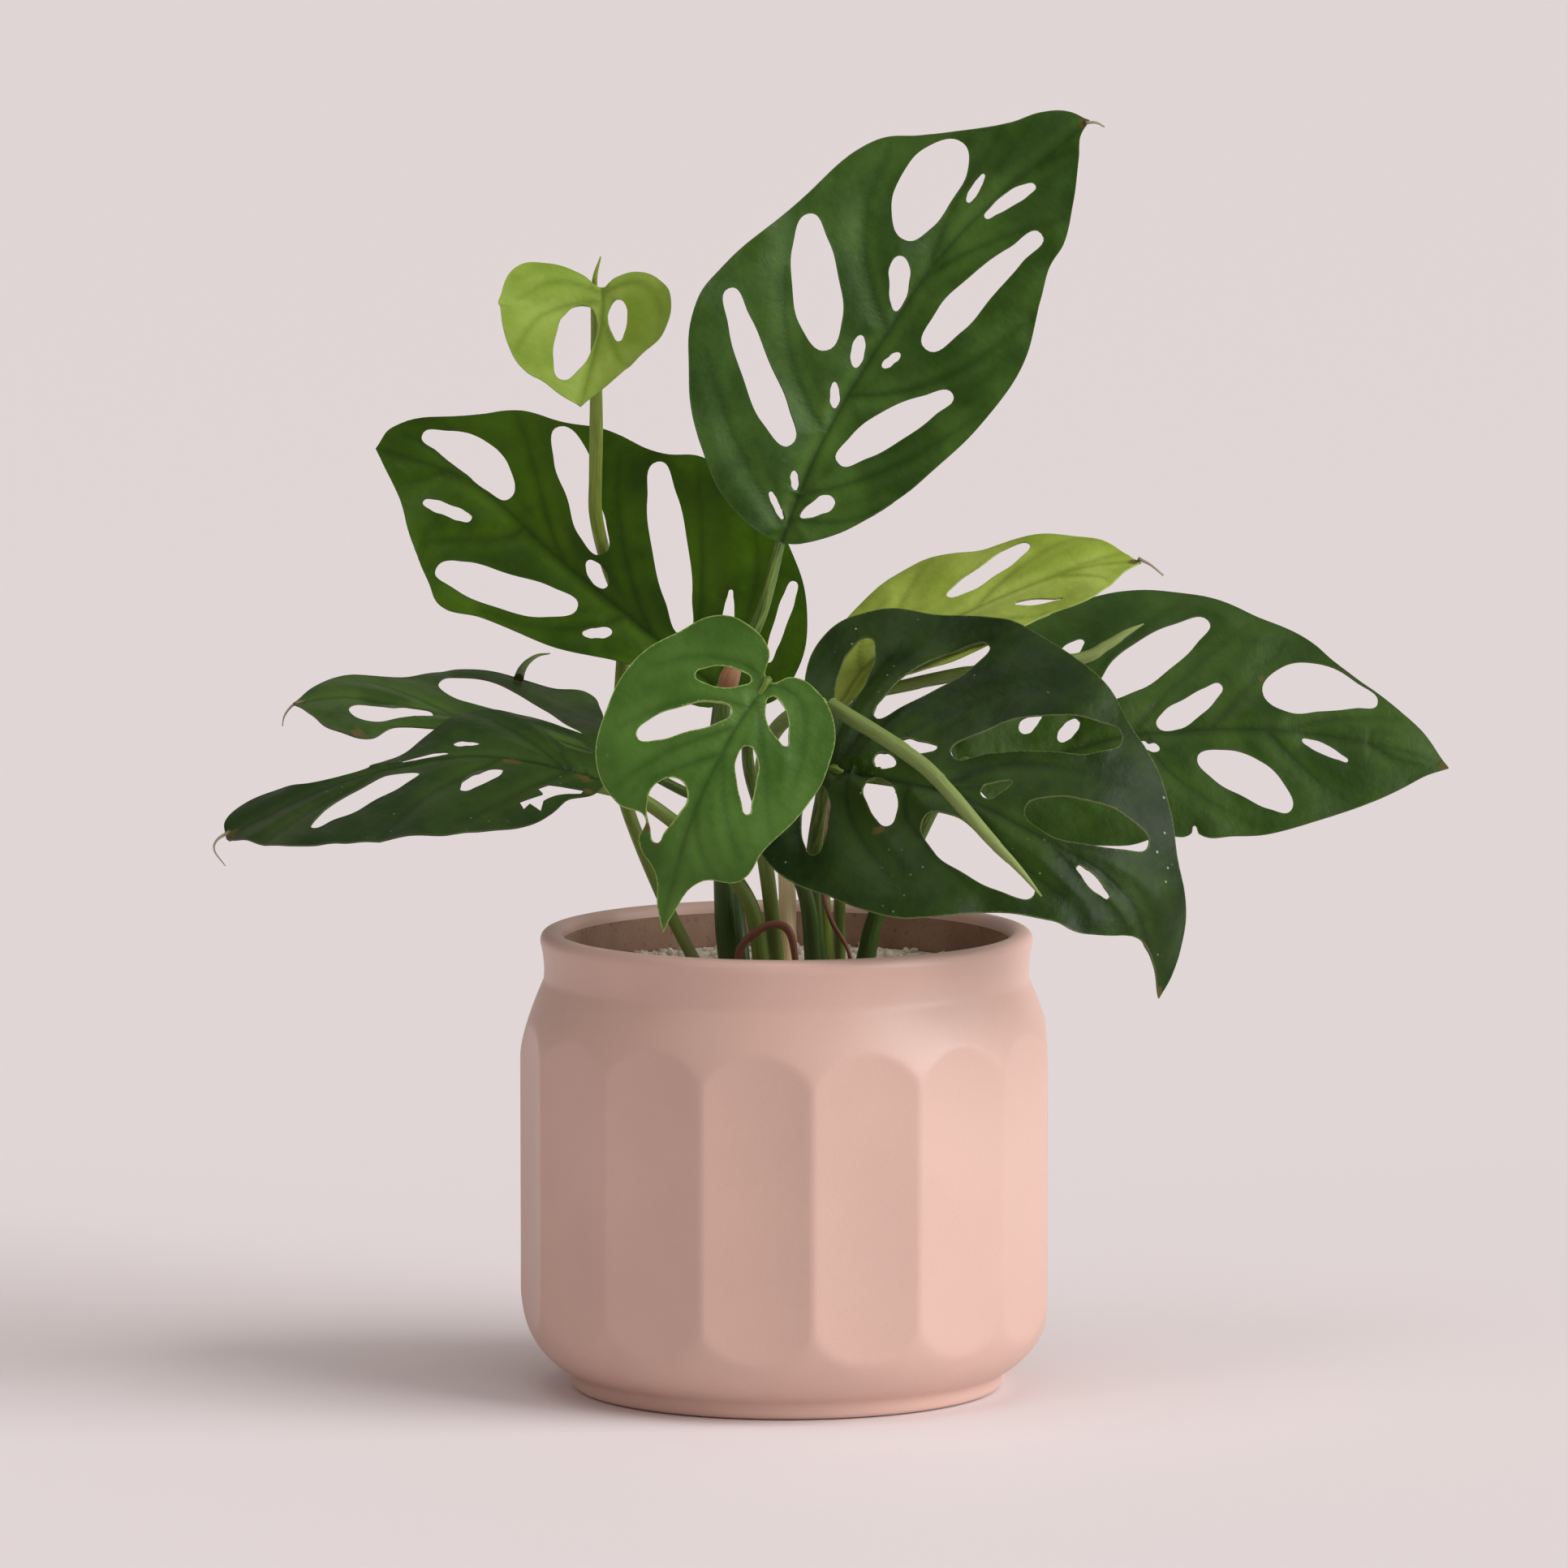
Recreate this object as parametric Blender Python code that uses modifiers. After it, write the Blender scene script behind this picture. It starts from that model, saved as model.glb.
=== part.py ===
"""Potted monstera: a small swiss-cheese vine in a fluted ceramic pot.

Origin: centre of the pot's underside.  +Z up, -Y is the side that faces the viewer.
Leaf and stem tables are in millimetres, in the plant's own frame: its origin is the
centre of the growing medium's surface, so that the plant rises and sinks with the pot.
"""
from collections import namedtuple
from math import cos, pi, radians, sin, tan

import bmesh
import bpy
from mathutils import Vector

MM = 0.001

# ---------------------------------------------------------------- driving dimensions (metres)
POT_HEIGHT = 0.1075
BELLY_RADIUS = 0.0624           # the straight wall, over the arrises
WALL = 0.0054
FLOOR_THICKNESS = 0.0070
FOOT_INSET = 0.0118             # foot ring, in from the belly
FOOT_HEIGHT = 0.0037
CURVE_TOP = 0.0160              # where the rounded bottom meets the straight wall
SHOULDER_DROP = 0.0305          # top of the straight wall, below the lip
NECK_DROP = 0.0115              # narrowest place, below the lip
NECK_INSET = 0.0056             # neck, in from the belly
LIP_FLARE = 0.0008              # lip, out from the neck
LIP_DROP = 0.0025               # widest place of the lip, below its top

FLUTES = 15
FLUTE_START = radians(-84.4)    # direction of one arris, seen from above
FLUTE_DEPTH = 0.0012            # at the middle of a flute
FLUTE_BOTTOM = 0.0150
FLUTE_DROP = 0.0355             # top of a flute's full depth, below the lip
FLUTE_RUN_OUT = 0.0055          # height in which a flute fades out, at either end

MEDIUM_DROP = 0.0105            # surface of the growing medium, below the lip
ROOTED_DEPTH = 0.012            # how deep the stems stand in the medium
ROOT_TIP_DEPTH = 0.004
FIT_GAP = 0.0003                # clearance between pieces that touch

LEAF_THICKNESS = 0.0007
LEAF_CELL = 0.012               # spacing of the lines along which a blade can bend
STEM_SIDES = 1                  # bevel resolution of the stems

POT_SEGMENTS = 3 * FLUTES       # so that each arris has its own line
MEDIUM_TOP = POT_HEIGHT - MEDIUM_DROP

# ---------------------------------------------------------------- leaf tables (millimetres)
# midrib  points from the base of the blade to its tip, in the plant's frame
# across  direction of the blade's right side, seen from above with the tip ahead
# fold    degrees by which both halves are raised above the midrib
# margin  outline (across, along), from the base up the left side and down the right one
# holes   (x, y) of the inner end, (x, y) of the outer end, three widths, sideways bow
Leaf = namedtuple("Leaf", "midrib across fold margin holes")

LEAVES = {
    "leaf_top": Leaf(
        midrib=[(-1, 4, 101), (8, 8, 123), (23, 15, 148), (41, 22, 172), (71, 27, 198)],
        across=(0.82, 0.05, -0.57), fold=8,
        margin=[(0, 0), (-14, 3), (-26, 13), (-36, 24), (-43, 37), (-42, 46), (-35, 68), (-30, 86),
                (-23.5, 93), (-18.5, 99.5), (-12, 110), (-9, 117.5), (-5, 122.5), (0, 125), (1.5, 121),
                (5, 117.5), (12.5, 109.5), (18, 102), (20, 95),
                (24, 87), (30, 70), (30, 50), (27, 36), (18, 14), (7, 3)],
        holes=[(-9.2, 75, -15.6, 98.8, 10.5, 13.5, 11.5, 1), (-4, 91, -6.5, 98, 2, 2, 1.5, 0),
               (1.5, 91.5, 3.5, 105.5, 2.5, 3.5, 3, 0.5), (-10, 44, -31.5, 67, 10, 11.5, 8.5, 0.5),
               (9.5, 57, 13, 99, 7.5, 7, 4.5, -0.5), (-1, 61, -8, 71.5, 4, 5, 5, -0.5),
               (-6.5, 21.5, -38, 43, 7, 7, 5.5, 0.5), (-2, 44.5, -5, 51.5, 3, 3.5, 3, 0),
               (3.5, 48, 5, 53, 2, 2, 2, 0), (-1, 34, -4.5, 39, 2.5, 2.5, 2, 0),
               (5.5, 22.5, 20.5, 51.5, 6.5, 8, 5.5, 0.5), (-1, 12.5, -3.5, 16.5, 2, 2, 2, 0),
               (-1.5, 5, -7, 10, 1.5, 1.5, 1.5, 0), (2, 7, 8, 14, 2.5, 3.5, 4, 0)]),
    "leaf_back_left": Leaf(
        midrib=[(-16, 30, 64), (-30, 33, 75), (-54, 39, 94), (-74, 45, 111), (-97, 51, 119)],
        across=(0.615, 0.23, 0.73), fold=6,
        margin=[(0, -3), (-5, -1), (-9, 19), (-17, 35), (-23, 52), (-28, 60), (-26, 67), (-20, 83),
                (-9, 93), (0, 102), (6, 100), (15, 83), (21, 76), (24, 70), (30, 62), (35, 46),
                (40, 38), (41, 22), (36, 7), (27, -5), (14, -12), (4, -11)],
        holes=[(2.5, 67.5, 6.5, 92.5, 7.5, 9, 5.5, -1.5), (-7.5, 71, -9, 86, 3, 3, 3, 0.5),
               (-6, 38, -22, 69, 7.5, 8.5, 7.5, 1), (2, 36, 4, 43.5, 3.5, 4, 3, 0),
               (5, 14.5, 32.5, 46, 6.5, 8.5, 7, 0), (-5.5, 28, -10.5, 33, 3, 3, 2.5, 0),
               (7.5, 41.5, 23, 69.5, 7, 7, 8, 0.5), (12.5, 7.5, 20, 12.5, 2.5, 2.5, 1.5, 0),
               (12, -5, 31, 2, 2.5, 3, 3, 0)]),
    "leaf_young_heart": Leaf(
        midrib=[(-43, 18, 160), (-43, 15, 154), (-44, 12, 148), (-48, 7, 133)],
        across=(-0.99, 0.05, 0.14), fold=8,
        margin=[(0, 0), (-3, -2), (-9, -3), (-14, 0), (-16, 4), (-15, 10), (-11, 15), (-4, 25),
                (0, 30), (5, 29), (10, 27), (14, 26), (19, 22), (24, 11), (24, 3), (20, -4),
                (13, -5), (5, -3)],
        holes=[(4.5, 4.5, 6, 25.5, 8, 9, 6.5, 0), (-3.5, 3.5, -5, 13, 4, 4.5, 3, -0.5)]),
    "leaf_left_low": Leaf(
        midrib=[(-44, -12, 49), (-60, -14, 53), (-79, -16, 54), (-106, -18, 47), (-130, -20, 35)],
        across=(0.02, 0.93, 0.3), fold=-3,
        margin=[(0, -2), (-10, 0), (-17, 6), (-29, 13), (-38, 28), (-40, 36), (-37, 54), (-34, 61),
                (-25, 76), (-17, 82), (-7, 87), (1, 91), (8, 89), (12, 82), (11, 75), (5, 67),
                (5, 50), (18, 36), (26, 27), (27, 19), (22.8, 7), (17, -1)],
        holes=[(-7, 43, -19, 71.5, 9, 11, 7.5, -2.5), (-6, 23.5, -19, 33.5, 6.5, 7.5, 5, -0.5),
               (6.5, 27.5, 8, 33.5, 2, 2.5, 3, 0), (3, 35, 2.5, 47, 2.5, 2.5, 2, 0.5),
               (9.5, 1.2, 21, 12, 5, 6.5, 4.5, -0.3), (-10, 6, -24, 15.5, 4.5, 5, 4, -1)]),
    "leaf_left_rear": Leaf(
        midrib=[(-43, 25, 50), (-67, 25, 57), (-81, 24, 59), (-101, 22, 63), (-114, 20, 62)],
        across=(0.02, 0.95, 0.25), fold=-2,
        margin=[(0, -1), (-2, 3), (-2.5, 12), (-4, 24), (-7, 36), (-10, 42), (-15, 51), (-24, 59), (-21, 68),
                (-10, 72), (0, 75), (8, 69), (14, 62), (18, 52), (27, 40), (33, 32), (35, 15),
                (37, 7), (29, 3), (15, 1), (6, 0)],
        holes=[(0.5, 41, -10.5, 62, 6, 9, 10, 0), (6, 6, 22, 39, 7, 16, 18, 0)]),
    "leaf_front": Leaf(
        midrib=[(-4, -56, 75), (-13, -60, 62), (-22, -63, 43), (-29, -58, 18)],
        across=(-0.91, -0.03, 0.4), fold=-6,
        margin=[(0, 0), (-4, -4), (-9, -5), (-18, -1), (-23, 9), (-23, 22), (-18, 39), (-15, 48),
                (-6, 51), (-2, 60), (-1, 65), (2, 59), (4, 52), (10, 45), (10, 40), (17, 39),
                (25, 33), (28, 23), (28, 13), (24, 4), (18, -6), (11, -8), (4, -6)],
        holes=[(3.5, 2, 14.5, 8.5, 3.5, 5, 3.5, 0), (3, 10.5, 19, 25, 5, 5.5, 5, -0.5),
               (-2.5, 2.5, -12, 10, 4, 5, 3, 0), (-4.5, 15.5, -11.5, 30.5, 5, 4.5, 2.5, 0),
               (6, 29.5, 6, 44.5, 8, 7.5, 3.5, -1)]),
    "leaf_front_right": Leaf(
        midrib=[(9, -38, 54), (39, -52, 49), (59, -56, 39), (73, -56, 31), (82, -53, 19), (86, -46, 0)],
        across=(-0.5, -0.475, -0.71), fold=-6,
        margin=[(0, -1), (-12, -10), (-24, -16), (-36, -17), (-45, -9), (-49, 8), (-51, 22),
                (-47, 36), (-42, 53), (-35, 66), (-25, 76), (-17, 84), (-12.5, 99), (-6.6, 105.3),
                (-1, 109), (-1.2, 101), (1, 93), (11, 83.5), (15.3, 76), (16.8, 66), (19.7, 57.5),
                (31, 42), (34, 28),
                (33, 15), (27, -5), (15, -12), (5, -8)],
        holes=[(-17, -4, -38, -6, 5.5, 7, 6, 0), (-16, 5.5, -42.5, 23, 7, 10, 8.5, 1),
               (-10.5, 13.5, -11, 23.5, 4, 4, 3, -1), (-5, 10, -4, 16, 4, 4, 2.5, 0),
               (0.5, 11, 12, 20, 6, 7, 5, 1), (5, -0.5, 23, 6, 6, 6.5, 5, -0.5),
               (8, 28, 13, 60, 9.5, 9.5, 7, -1.5), (-2.5, 38.5, -9, 43, 3.5, 3, 2, 0),
               (-4.5, 49, -13.5, 77, 9, 10.5, 8, -0.5), (2, 66, 3.5, 77.5, 2, 3, 2, -0.5),
               (-10, 27.5, -32.5, 63, 6, 9, 9, 3)]),
    "leaf_right": Leaf(
        midrib=[(41, 6, 50), (59, 11, 50), (84, 17, 55), (117, 22, 55), (145, 25, 50), (156, 26, 46)],
        across=(0.1, -0.5, -0.86), fold=-4,
        margin=[(0, -1), (-6, -2), (-14, 1), (-24, 8), (-31, 19), (-36, 36), (-38, 48), (-36, 61),
                (-30, 74), (-26, 83), (-20, 90), (-14, 99), (-8.5, 108), (0, 119), (7.5, 111), (17, 97.5),
                (25, 79.5), (26.8, 65), (26, 45), (26, 30), (19, 16), (6, 2)],
        holes=[(-1.5, 48.5, -12, 64.5, 5.5, 5.5, 4, -1), (7, 57, 20, 80.5, 8.5, 10.5, 8, 1.5),
               (1.5, 83, 5.5, 94.5, 2.5, 3, 2, 0), (2, 43, 4.5, 48, 2, 2.5, 2.5, 0),
               (-10.5, 38, -29, 63, 8.5, 10, 7, 0.5), (-22.5, 31.5, -27, 38, 2.5, 3.5, 2.5, 0),
               (-9, 74, -10.8, 100, 12.5, 13, 7.5, 2.9), (-7, 16, -10.5, 23, 3.5, 3.5, 2, 0.5),
               (-3, 25, -7.5, 31.5, 3, 3.5, 3, 0)]),
    "leaf_pale_right": Leaf(
        midrib=[(12, -6, 66), (21, -4, 76), (45, 0, 87), (67, 4, 95), (83, 6, 97)],
        across=(0.2, -0.82, -0.37), fold=5,
        margin=[(0, -1), (-10, 4), (-17, 13), (-23, 26), (-25, 35), (-20, 48), (-17, 60), (-10, 72),
                (0, 80), (7, 74), (17, 64), (18, 50), (20, 36), (18, 22), (12, 9), (6, 1)],
        holes=[(-8, 35, -15, 58, 5.5, 5.5, 5.5, 0), (7.5, 47, 13, 57.5, 2.5, 3, 1.5, -0.5)]),
}

# ---------------------------------------------------------------- stem tables (millimetres)
# Each stem: the leaf it carries, its radius at the medium and at its end, and its route.
# The first point is on the medium's surface; the route goes straight down from there.
Stem = namedtuple("Stem", "leaf radius end_radius route")

STEMS = {
    "petiole_top": Stem("leaf_top", 2.2, 1.2,
                        [(-13, -2, 0), (-14.5, -2, 14), (-15, -1, 38), (-15, 0, 61), (-13, 1, 70),
                         (-6, 3, 84)]),
    "petiole_back_left": Stem("leaf_back_left", 1.8, 1.3,
                              [(-10, 4, 0), (-12, 11, 16), (-15, 25, 33), (-17, 32, 49)]),
    "petiole_left_low": Stem("leaf_left_low", 2.0, 1.6,
                             [(-5.5, -7, 0), (-8, -8, 16), (-15, -9, 27), (-25, -10, 36), (-35, -11, 43)]),
    "petiole_left_rear": Stem("leaf_left_rear", 1.4, 1.1,
                              [(-3, 18, 0), (-3.5, 18, 16), (-6, 18, 28), (-14, 18.5, 36), (-25, 20, 41),
                               (-34.5, 23, 45.5)]),
    "petiole_front": Stem("leaf_front", 2.0, 1.1,
                          [(6.5, -16, 0), (4, -24, 23), (-6, -31, 43), (-9, -41, 59)]),
    "petiole_front_right": Stem("leaf_front_right", 2.2, 1.5,
                                [(8, -5, 0), (6, -10, 20), (7, -22, 37)]),
    "petiole_right": Stem("leaf_right", 2.3, 1.5,
                          [(18, 6, 0), (21, 6, 13), (27, 6, 24), (34, 6, 38)]),
    "vine_pale_right": Stem("leaf_pale_right", 1.6, 1.2,
                            [(10, 8, 0), (9, 7, 13), (8, 2, 36), (9, -2, 52)]),
}
# The left vine passes behind its leaf and ends in a fine tip above it.
VINE_LEFT = ([(-21, 13, 0), (-29.5, 22, 16), (-37.5, 31, 35), (-40, 36, 47), (-39, 40, 66),
              (-38.5, 43.5, 80),
              (-42.5, 44.6, 92), (-45, 38, 104), (-45, 34.5, 114), (-44.8, 32, 126), (-44.8, 28, 147),
              (-45, 22, 160), (-43.5, 21, 166.5)],
             [1.5, 1.5, 1.6, 1.6, 1.6, 1.6, 1.6, 1.6, 1.6, 1.6, 1.2, 0.7, 0.2])
# A new leaf, still rolled up, goes on where its stem ends.
ROLLED = {
    "rolled_leaf_front": ("stem_rolled_front",
                          [(-2, 2, 0), (-4, -6, 20), (-6, -16, 38), (-5, -28, 55), (0, -36, 64),
                           (8.7, -40.8, 67.8)],
                          [(10, -42, 68), (29, -54, 57), (37, -60, 50), (46, -65, 40), (53, -68, 33),
                           (58, -69, 27)],
                          [1.8, 1.8, 1.7, 1.4, 0.8, 0.25]),
    "rolled_leaf_rear": ("stem_rolled_rear",
                         [(12.5, 14, 0), (12.5, 10, 18), (14, 1, 38), (17, -9, 56), (20.3, -13.3, 66.6)],
                         [(21, -14, 68), (42, -12, 72), (67, -10, 75), (74, -9, 78), (79, -8, 81),
                          (83, -7, 83)],
                         [1.4, 1.6, 1.5, 1.2, 0.8, 0.2]),
}
STAKE_RADIUS = 2.1
STAKE = [(0.5, 9, 0), (0, 11, 23), (-0.5, 13, 38)]
AERIAL_ROOTS = {
    "aerial_root_left": ([(-11, -14, 0), (-11, -14, 7), (-8, -14, 11), (-3, -14, 13.5), (1, -14, 11),
                          (2.5, -13, 0)],
                         [0.7, 0.65, 0.6, 0.6, 0.6, 0.5]),
    "aerial_root_right": ([(8.6, 2.6, 21), (9, -1, 17), (11, -4, 12), (14.5, -6, 6), (15, -6, 0)],
                          [0.5, 0.45, 0.4, 0.4, 0.4]),
}


# ---------------------------------------------------------------- helpers
def material(name, colour, roughness):
    """A Principled material of one colour."""
    mat = bpy.data.materials.new(name)
    mat.use_nodes = True
    shader = mat.node_tree.nodes["Principled BSDF"]
    shader.inputs["Base Color"].default_value = (*colour, 1.0)
    shader.inputs["Roughness"].default_value = roughness
    return mat


def add_object(name, data, collection, mat=None):
    """Put mesh or curve data in the scene as a named object."""
    obj = bpy.data.objects.new(name, data)
    collection.objects.link(obj)
    if mat:
        data.materials.append(mat)
    return obj


def plant(point):
    """A point of the plant's own frame, in metres, in the pot's frame."""
    return Vector((point[0] * MM, point[1] * MM, point[2] * MM + MEDIUM_TOP))


def bend(start, control, end, steps):
    """Points of a quadratic arc from start to end, the end left out."""
    points = []
    for i in range(steps):
        t = i / steps
        points.append(tuple((1 - t) ** 2 * a + 2 * t * (1 - t) * b + t * t * c
                            for a, b, c in zip(start, control, end)))
    return points


def smooth_path(points, steps=8):
    """Catmull-Rom curve through the points."""
    ends = [2 * points[0] - points[1]] + list(points) + [2 * points[-1] - points[-2]]
    path = []
    for before, start, end, after in zip(ends, ends[1:], ends[2:], ends[3:]):
        for i in range(steps):
            t = i / steps
            path.append(0.5 * (2 * start + (end - before) * t
                               + (2 * before - 5 * start + 4 * end - after) * t ** 2
                               + (3 * start - before - 3 * end + after) * t ** 3))
    path.append(points[-1])
    return path


# ---------------------------------------------------------------- pot and growing medium
def turned(name, profile, segments, collection, mat):
    """A body of revolution about Z from a profile of (radius, height), in line with the flutes."""
    mesh = bpy.data.meshes.new(name)
    edges = [(i, i + 1) for i in range(len(profile) - 1)]
    mesh.from_pydata([(r * cos(FLUTE_START), r * sin(FLUTE_START), z) for r, z in profile], edges, [])
    obj = add_object(name, mesh, collection, mat)
    screw = obj.modifiers.new("turn", "SCREW")
    screw.steps = screw.render_steps = segments
    screw.use_merge_vertices = True
    screw.merge_threshold = 0.00001
    return obj


def inner_profile():
    """The pot's inner wall, from the lip down to the floor."""
    neck = BELLY_RADIUS - NECK_INSET - WALL
    belly = BELLY_RADIUS - WALL
    shoulder = POT_HEIGHT - SHOULDER_DROP
    points = [(neck + LIP_FLARE, POT_HEIGHT - LIP_DROP)]
    points += bend((neck, POT_HEIGHT - NECK_DROP), (belly, POT_HEIGHT - NECK_DROP - 0.010),
                   (belly, shoulder), 3)
    points += [(belly, shoulder)]
    points += bend((belly, CURVE_TOP + FLOOR_THICKNESS), (belly, FLOOR_THICKNESS),
                   (belly - 0.016, FLOOR_THICKNESS), 3)
    points += [(belly - 0.016, FLOOR_THICKNESS), (0, FLOOR_THICKNESS)]
    return points


def outer_profile():
    """The pot's outer wall, from the lip down to the middle of the underside."""
    neck = BELLY_RADIUS - NECK_INSET
    lip = neck + LIP_FLARE
    shoulder = POT_HEIGHT - SHOULDER_DROP
    foot = BELLY_RADIUS - FOOT_INSET
    points = bend((lip - WALL / 2, POT_HEIGHT), (lip, POT_HEIGHT), (lip, POT_HEIGHT - LIP_DROP), 3)
    points += bend((lip, POT_HEIGHT - LIP_DROP), (neck - 0.0004, POT_HEIGHT - 0.007),
                   (neck, POT_HEIGHT - NECK_DROP), 2)
    points += bend((neck, POT_HEIGHT - NECK_DROP), (BELLY_RADIUS - 0.0004, POT_HEIGHT - 0.0205),
                   (BELLY_RADIUS - 0.0004, shoulder), 6)
    points += [(BELLY_RADIUS - 0.0004, shoulder)]
    points += bend((BELLY_RADIUS, CURVE_TOP), (BELLY_RADIUS - 0.0008, FOOT_HEIGHT + 0.0018),
                   (foot, FOOT_HEIGHT), 5)
    points += [(foot, FOOT_HEIGHT), (foot, 0.0008), (foot - 0.0008, 0), (0, 0)]
    return points


def pot(collection, cutters, mat):
    """The fluted pot: a turned body with a ring of shallow flat cuts."""
    inner = inner_profile()
    lip_inner = inner[0]
    crown = BELLY_RADIUS - NECK_INSET + LIP_FLARE - WALL / 2
    rounded = bend((crown, POT_HEIGHT), (lip_inner[0], POT_HEIGHT), lip_inner, 3)
    body = turned("pot", inner[::-1] + rounded[:0:-1] + outer_profile(), POT_SEGMENTS, collection, mat)
    top = POT_HEIGHT - FLUTE_DROP
    flat = BELLY_RADIUS - FLUTE_DEPTH
    reach = 0.010
    run_out = FLUTE_RUN_OUT * reach / FLUTE_DEPTH
    half = BELLY_RADIUS * tan(pi / FLUTES) * 1.15
    for i in range(FLUTES):
        bm = bmesh.new()
        bmesh.ops.create_cube(bm, size=1.0)
        for vert in bm.verts:
            outside = vert.co.x > 0
            end = run_out if outside else 0.0
            z = top + end if vert.co.z > 0 else FLUTE_BOTTOM - end
            vert.co = Vector((flat + (reach if outside else 0.0), vert.co.y * 2 * half, z))
        mesh = bpy.data.meshes.new(f"flute_{i}")
        bm.to_mesh(mesh)
        bm.free()
        cutter = add_object(f"flute_{i}", mesh, cutters)
        cutter.rotation_euler.z = FLUTE_START + (i + 0.5) * 2 * pi / FLUTES
        cutter.hide_render = True
        cutter.display_type = "WIRE"
    cut = body.modifiers.new("flutes", "BOOLEAN")
    cut.operand_type = "COLLECTION"
    cut.collection = cutters
    return body


def growing_medium(collection, sockets, mat):
    """The filling: it follows the pot's inner wall, and each stem has its socket."""
    wall = [(max(r - FIT_GAP, 0.0), z) for r, z in inner_profile()]
    above = [p for p in wall if p[1] > MEDIUM_TOP][-1]
    below = [p for p in wall if p[1] <= MEDIUM_TOP]
    share = (above[1] - MEDIUM_TOP) / (above[1] - below[0][1])
    edge = above[0] + (below[0][0] - above[0]) * share
    rounded = CURVE_TOP + FLOOR_THICKNESS
    sides = [(edge, MEDIUM_TOP)] + [(r, z + FIT_GAP if z <= rounded else z) for r, z in below]
    body = turned("growing_medium", [(0, MEDIUM_TOP)] + sides, POT_SEGMENTS, collection, mat)
    for socket in sockets:
        cut = body.modifiers.new("socket", "BOOLEAN")
        cut.object = socket
    return body


def socket_cutter(x, y, radius, depth, collection):
    """A round cutter for the place where a stem or a root enters the medium."""
    bm = bmesh.new()
    bmesh.ops.create_cone(bm, cap_ends=True, segments=8, radius1=radius, radius2=radius, depth=depth + 0.004)
    mesh = bpy.data.meshes.new("socket")
    bmesh.ops.translate(bm, verts=bm.verts, vec=(x, y, MEDIUM_TOP - depth / 2 + 0.002))
    bm.to_mesh(mesh)
    bm.free()
    cutter = add_object("socket", mesh, collection)
    cutter.hide_render = True
    cutter.display_type = "WIRE"
    return cutter


# ---------------------------------------------------------------- leaves
class Blade:
    """The curved surface of a leaf: across and along in, a place in space out."""

    def __init__(self, leaf):
        self.path = smooth_path([plant(p) for p in leaf.midrib])
        self.across = Vector(leaf.across)
        self.fold = radians(leaf.fold)
        self.marks = [0.0]
        for start, end in zip(self.path, self.path[1:]):
            self.marks.append(self.marks[-1] + (end - start).length)

    def frame(self, along):
        """Midrib point, direction to the right and direction of the upper face."""
        inside = min(max(along, 0.0), self.marks[-1] - 1e-6)
        i = max(k for k in range(len(self.marks) - 1) if self.marks[k] <= inside)
        step = self.path[i + 1] - self.path[i]
        share = (inside - self.marks[i]) / step.length
        before = self.path[max(i - 1, 0)]
        after = self.path[min(i + 2, len(self.path) - 1)]
        ahead = (self.path[i + 1] - before).lerp(after - self.path[i], share).normalized()
        point = self.path[i] + step * share + ahead * (along - inside)
        right = (self.across - ahead * self.across.dot(ahead)).normalized()
        return point, right, right.cross(ahead)

    def place(self, across, along):
        """The point of the blade at the given distances from the base of the midrib."""
        point, right, up = self.frame(along)
        return point + right * across * cos(self.fold) + up * abs(across) * sin(self.fold)


def closed_spline(curve, points, resolution, tip=None):
    """A smooth closed outline in the curve's plane, pointed at its tip if it has one."""
    spline = curve.splines.new("BEZIER")
    spline.bezier_points.add(len(points) - 1)
    for bezier, (x, y) in zip(spline.bezier_points, points):
        bezier.co = (x * MM, y * MM, 0)
        bezier.handle_left_type = bezier.handle_right_type = "VECTOR" if (x, y) == tip else "AUTO"
    spline.use_cyclic_u = True
    spline.resolution_u = resolution


def hole_outline(hole):
    """Eight points round a hole, from its ends, its three widths and its bow."""
    x0, y0, x1, y1, near, middle, far, bow = hole
    start = Vector((x0, y0))
    span = Vector((x1, y1)) - start
    side = Vector((-span.y, span.x)).normalized()
    stations = [(0.2, near, 0.64 * bow), (0.5, middle, bow), (0.8, far, 0.64 * bow)]
    left = [start + span * f + side * (shift + width / 2) for f, width, shift in stations]
    right = [start + span * f + side * (shift - width / 2) for f, width, shift in stations]
    return [start] + right + [start + span] + left[::-1]


def blade_mesh(name, leaf):
    """A flat blade with its holes, cut into cells and bent onto its surface."""
    curve = bpy.data.curves.new(name, "CURVE")
    curve.dimensions = "2D"
    curve.fill_mode = "BOTH"
    closed_spline(curve, leaf.margin, 2, tip=max(leaf.margin, key=lambda point: point[1]))
    for hole in leaf.holes:
        closed_spline(curve, hole_outline(hole), 1)
    flat = bpy.data.objects.new(name + "_flat", curve)
    mesh = bpy.data.meshes.new_from_object(flat)
    bpy.data.objects.remove(flat)
    mesh.name = name
    bm = bmesh.new()
    bm.from_mesh(mesh)
    bmesh.ops.remove_doubles(bm, verts=bm.verts, dist=1e-6)
    low = min(v.co.y for v in bm.verts)
    high = max(v.co.y for v in bm.verts)
    rows = int((high - low) / LEAF_CELL)
    cuts = [((0, 0, 0), (1, 0, 0))]
    cuts += [((0, low + (high - low) * i / (rows + 1), 0), (0, 1, 0)) for i in range(1, rows + 1)]
    for place, normal in cuts:
        bmesh.ops.bisect_plane(bm, geom=bm.verts[:] + bm.edges[:] + bm.faces[:], dist=2e-5,
                               plane_co=place, plane_no=normal)
    bmesh.ops.triangulate(bm, faces=bm.faces)
    blade = Blade(leaf)
    for vert in bm.verts:
        vert.co = blade.place(vert.co.x, vert.co.y)
    bm.to_mesh(mesh)
    bm.free()
    return mesh


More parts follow.
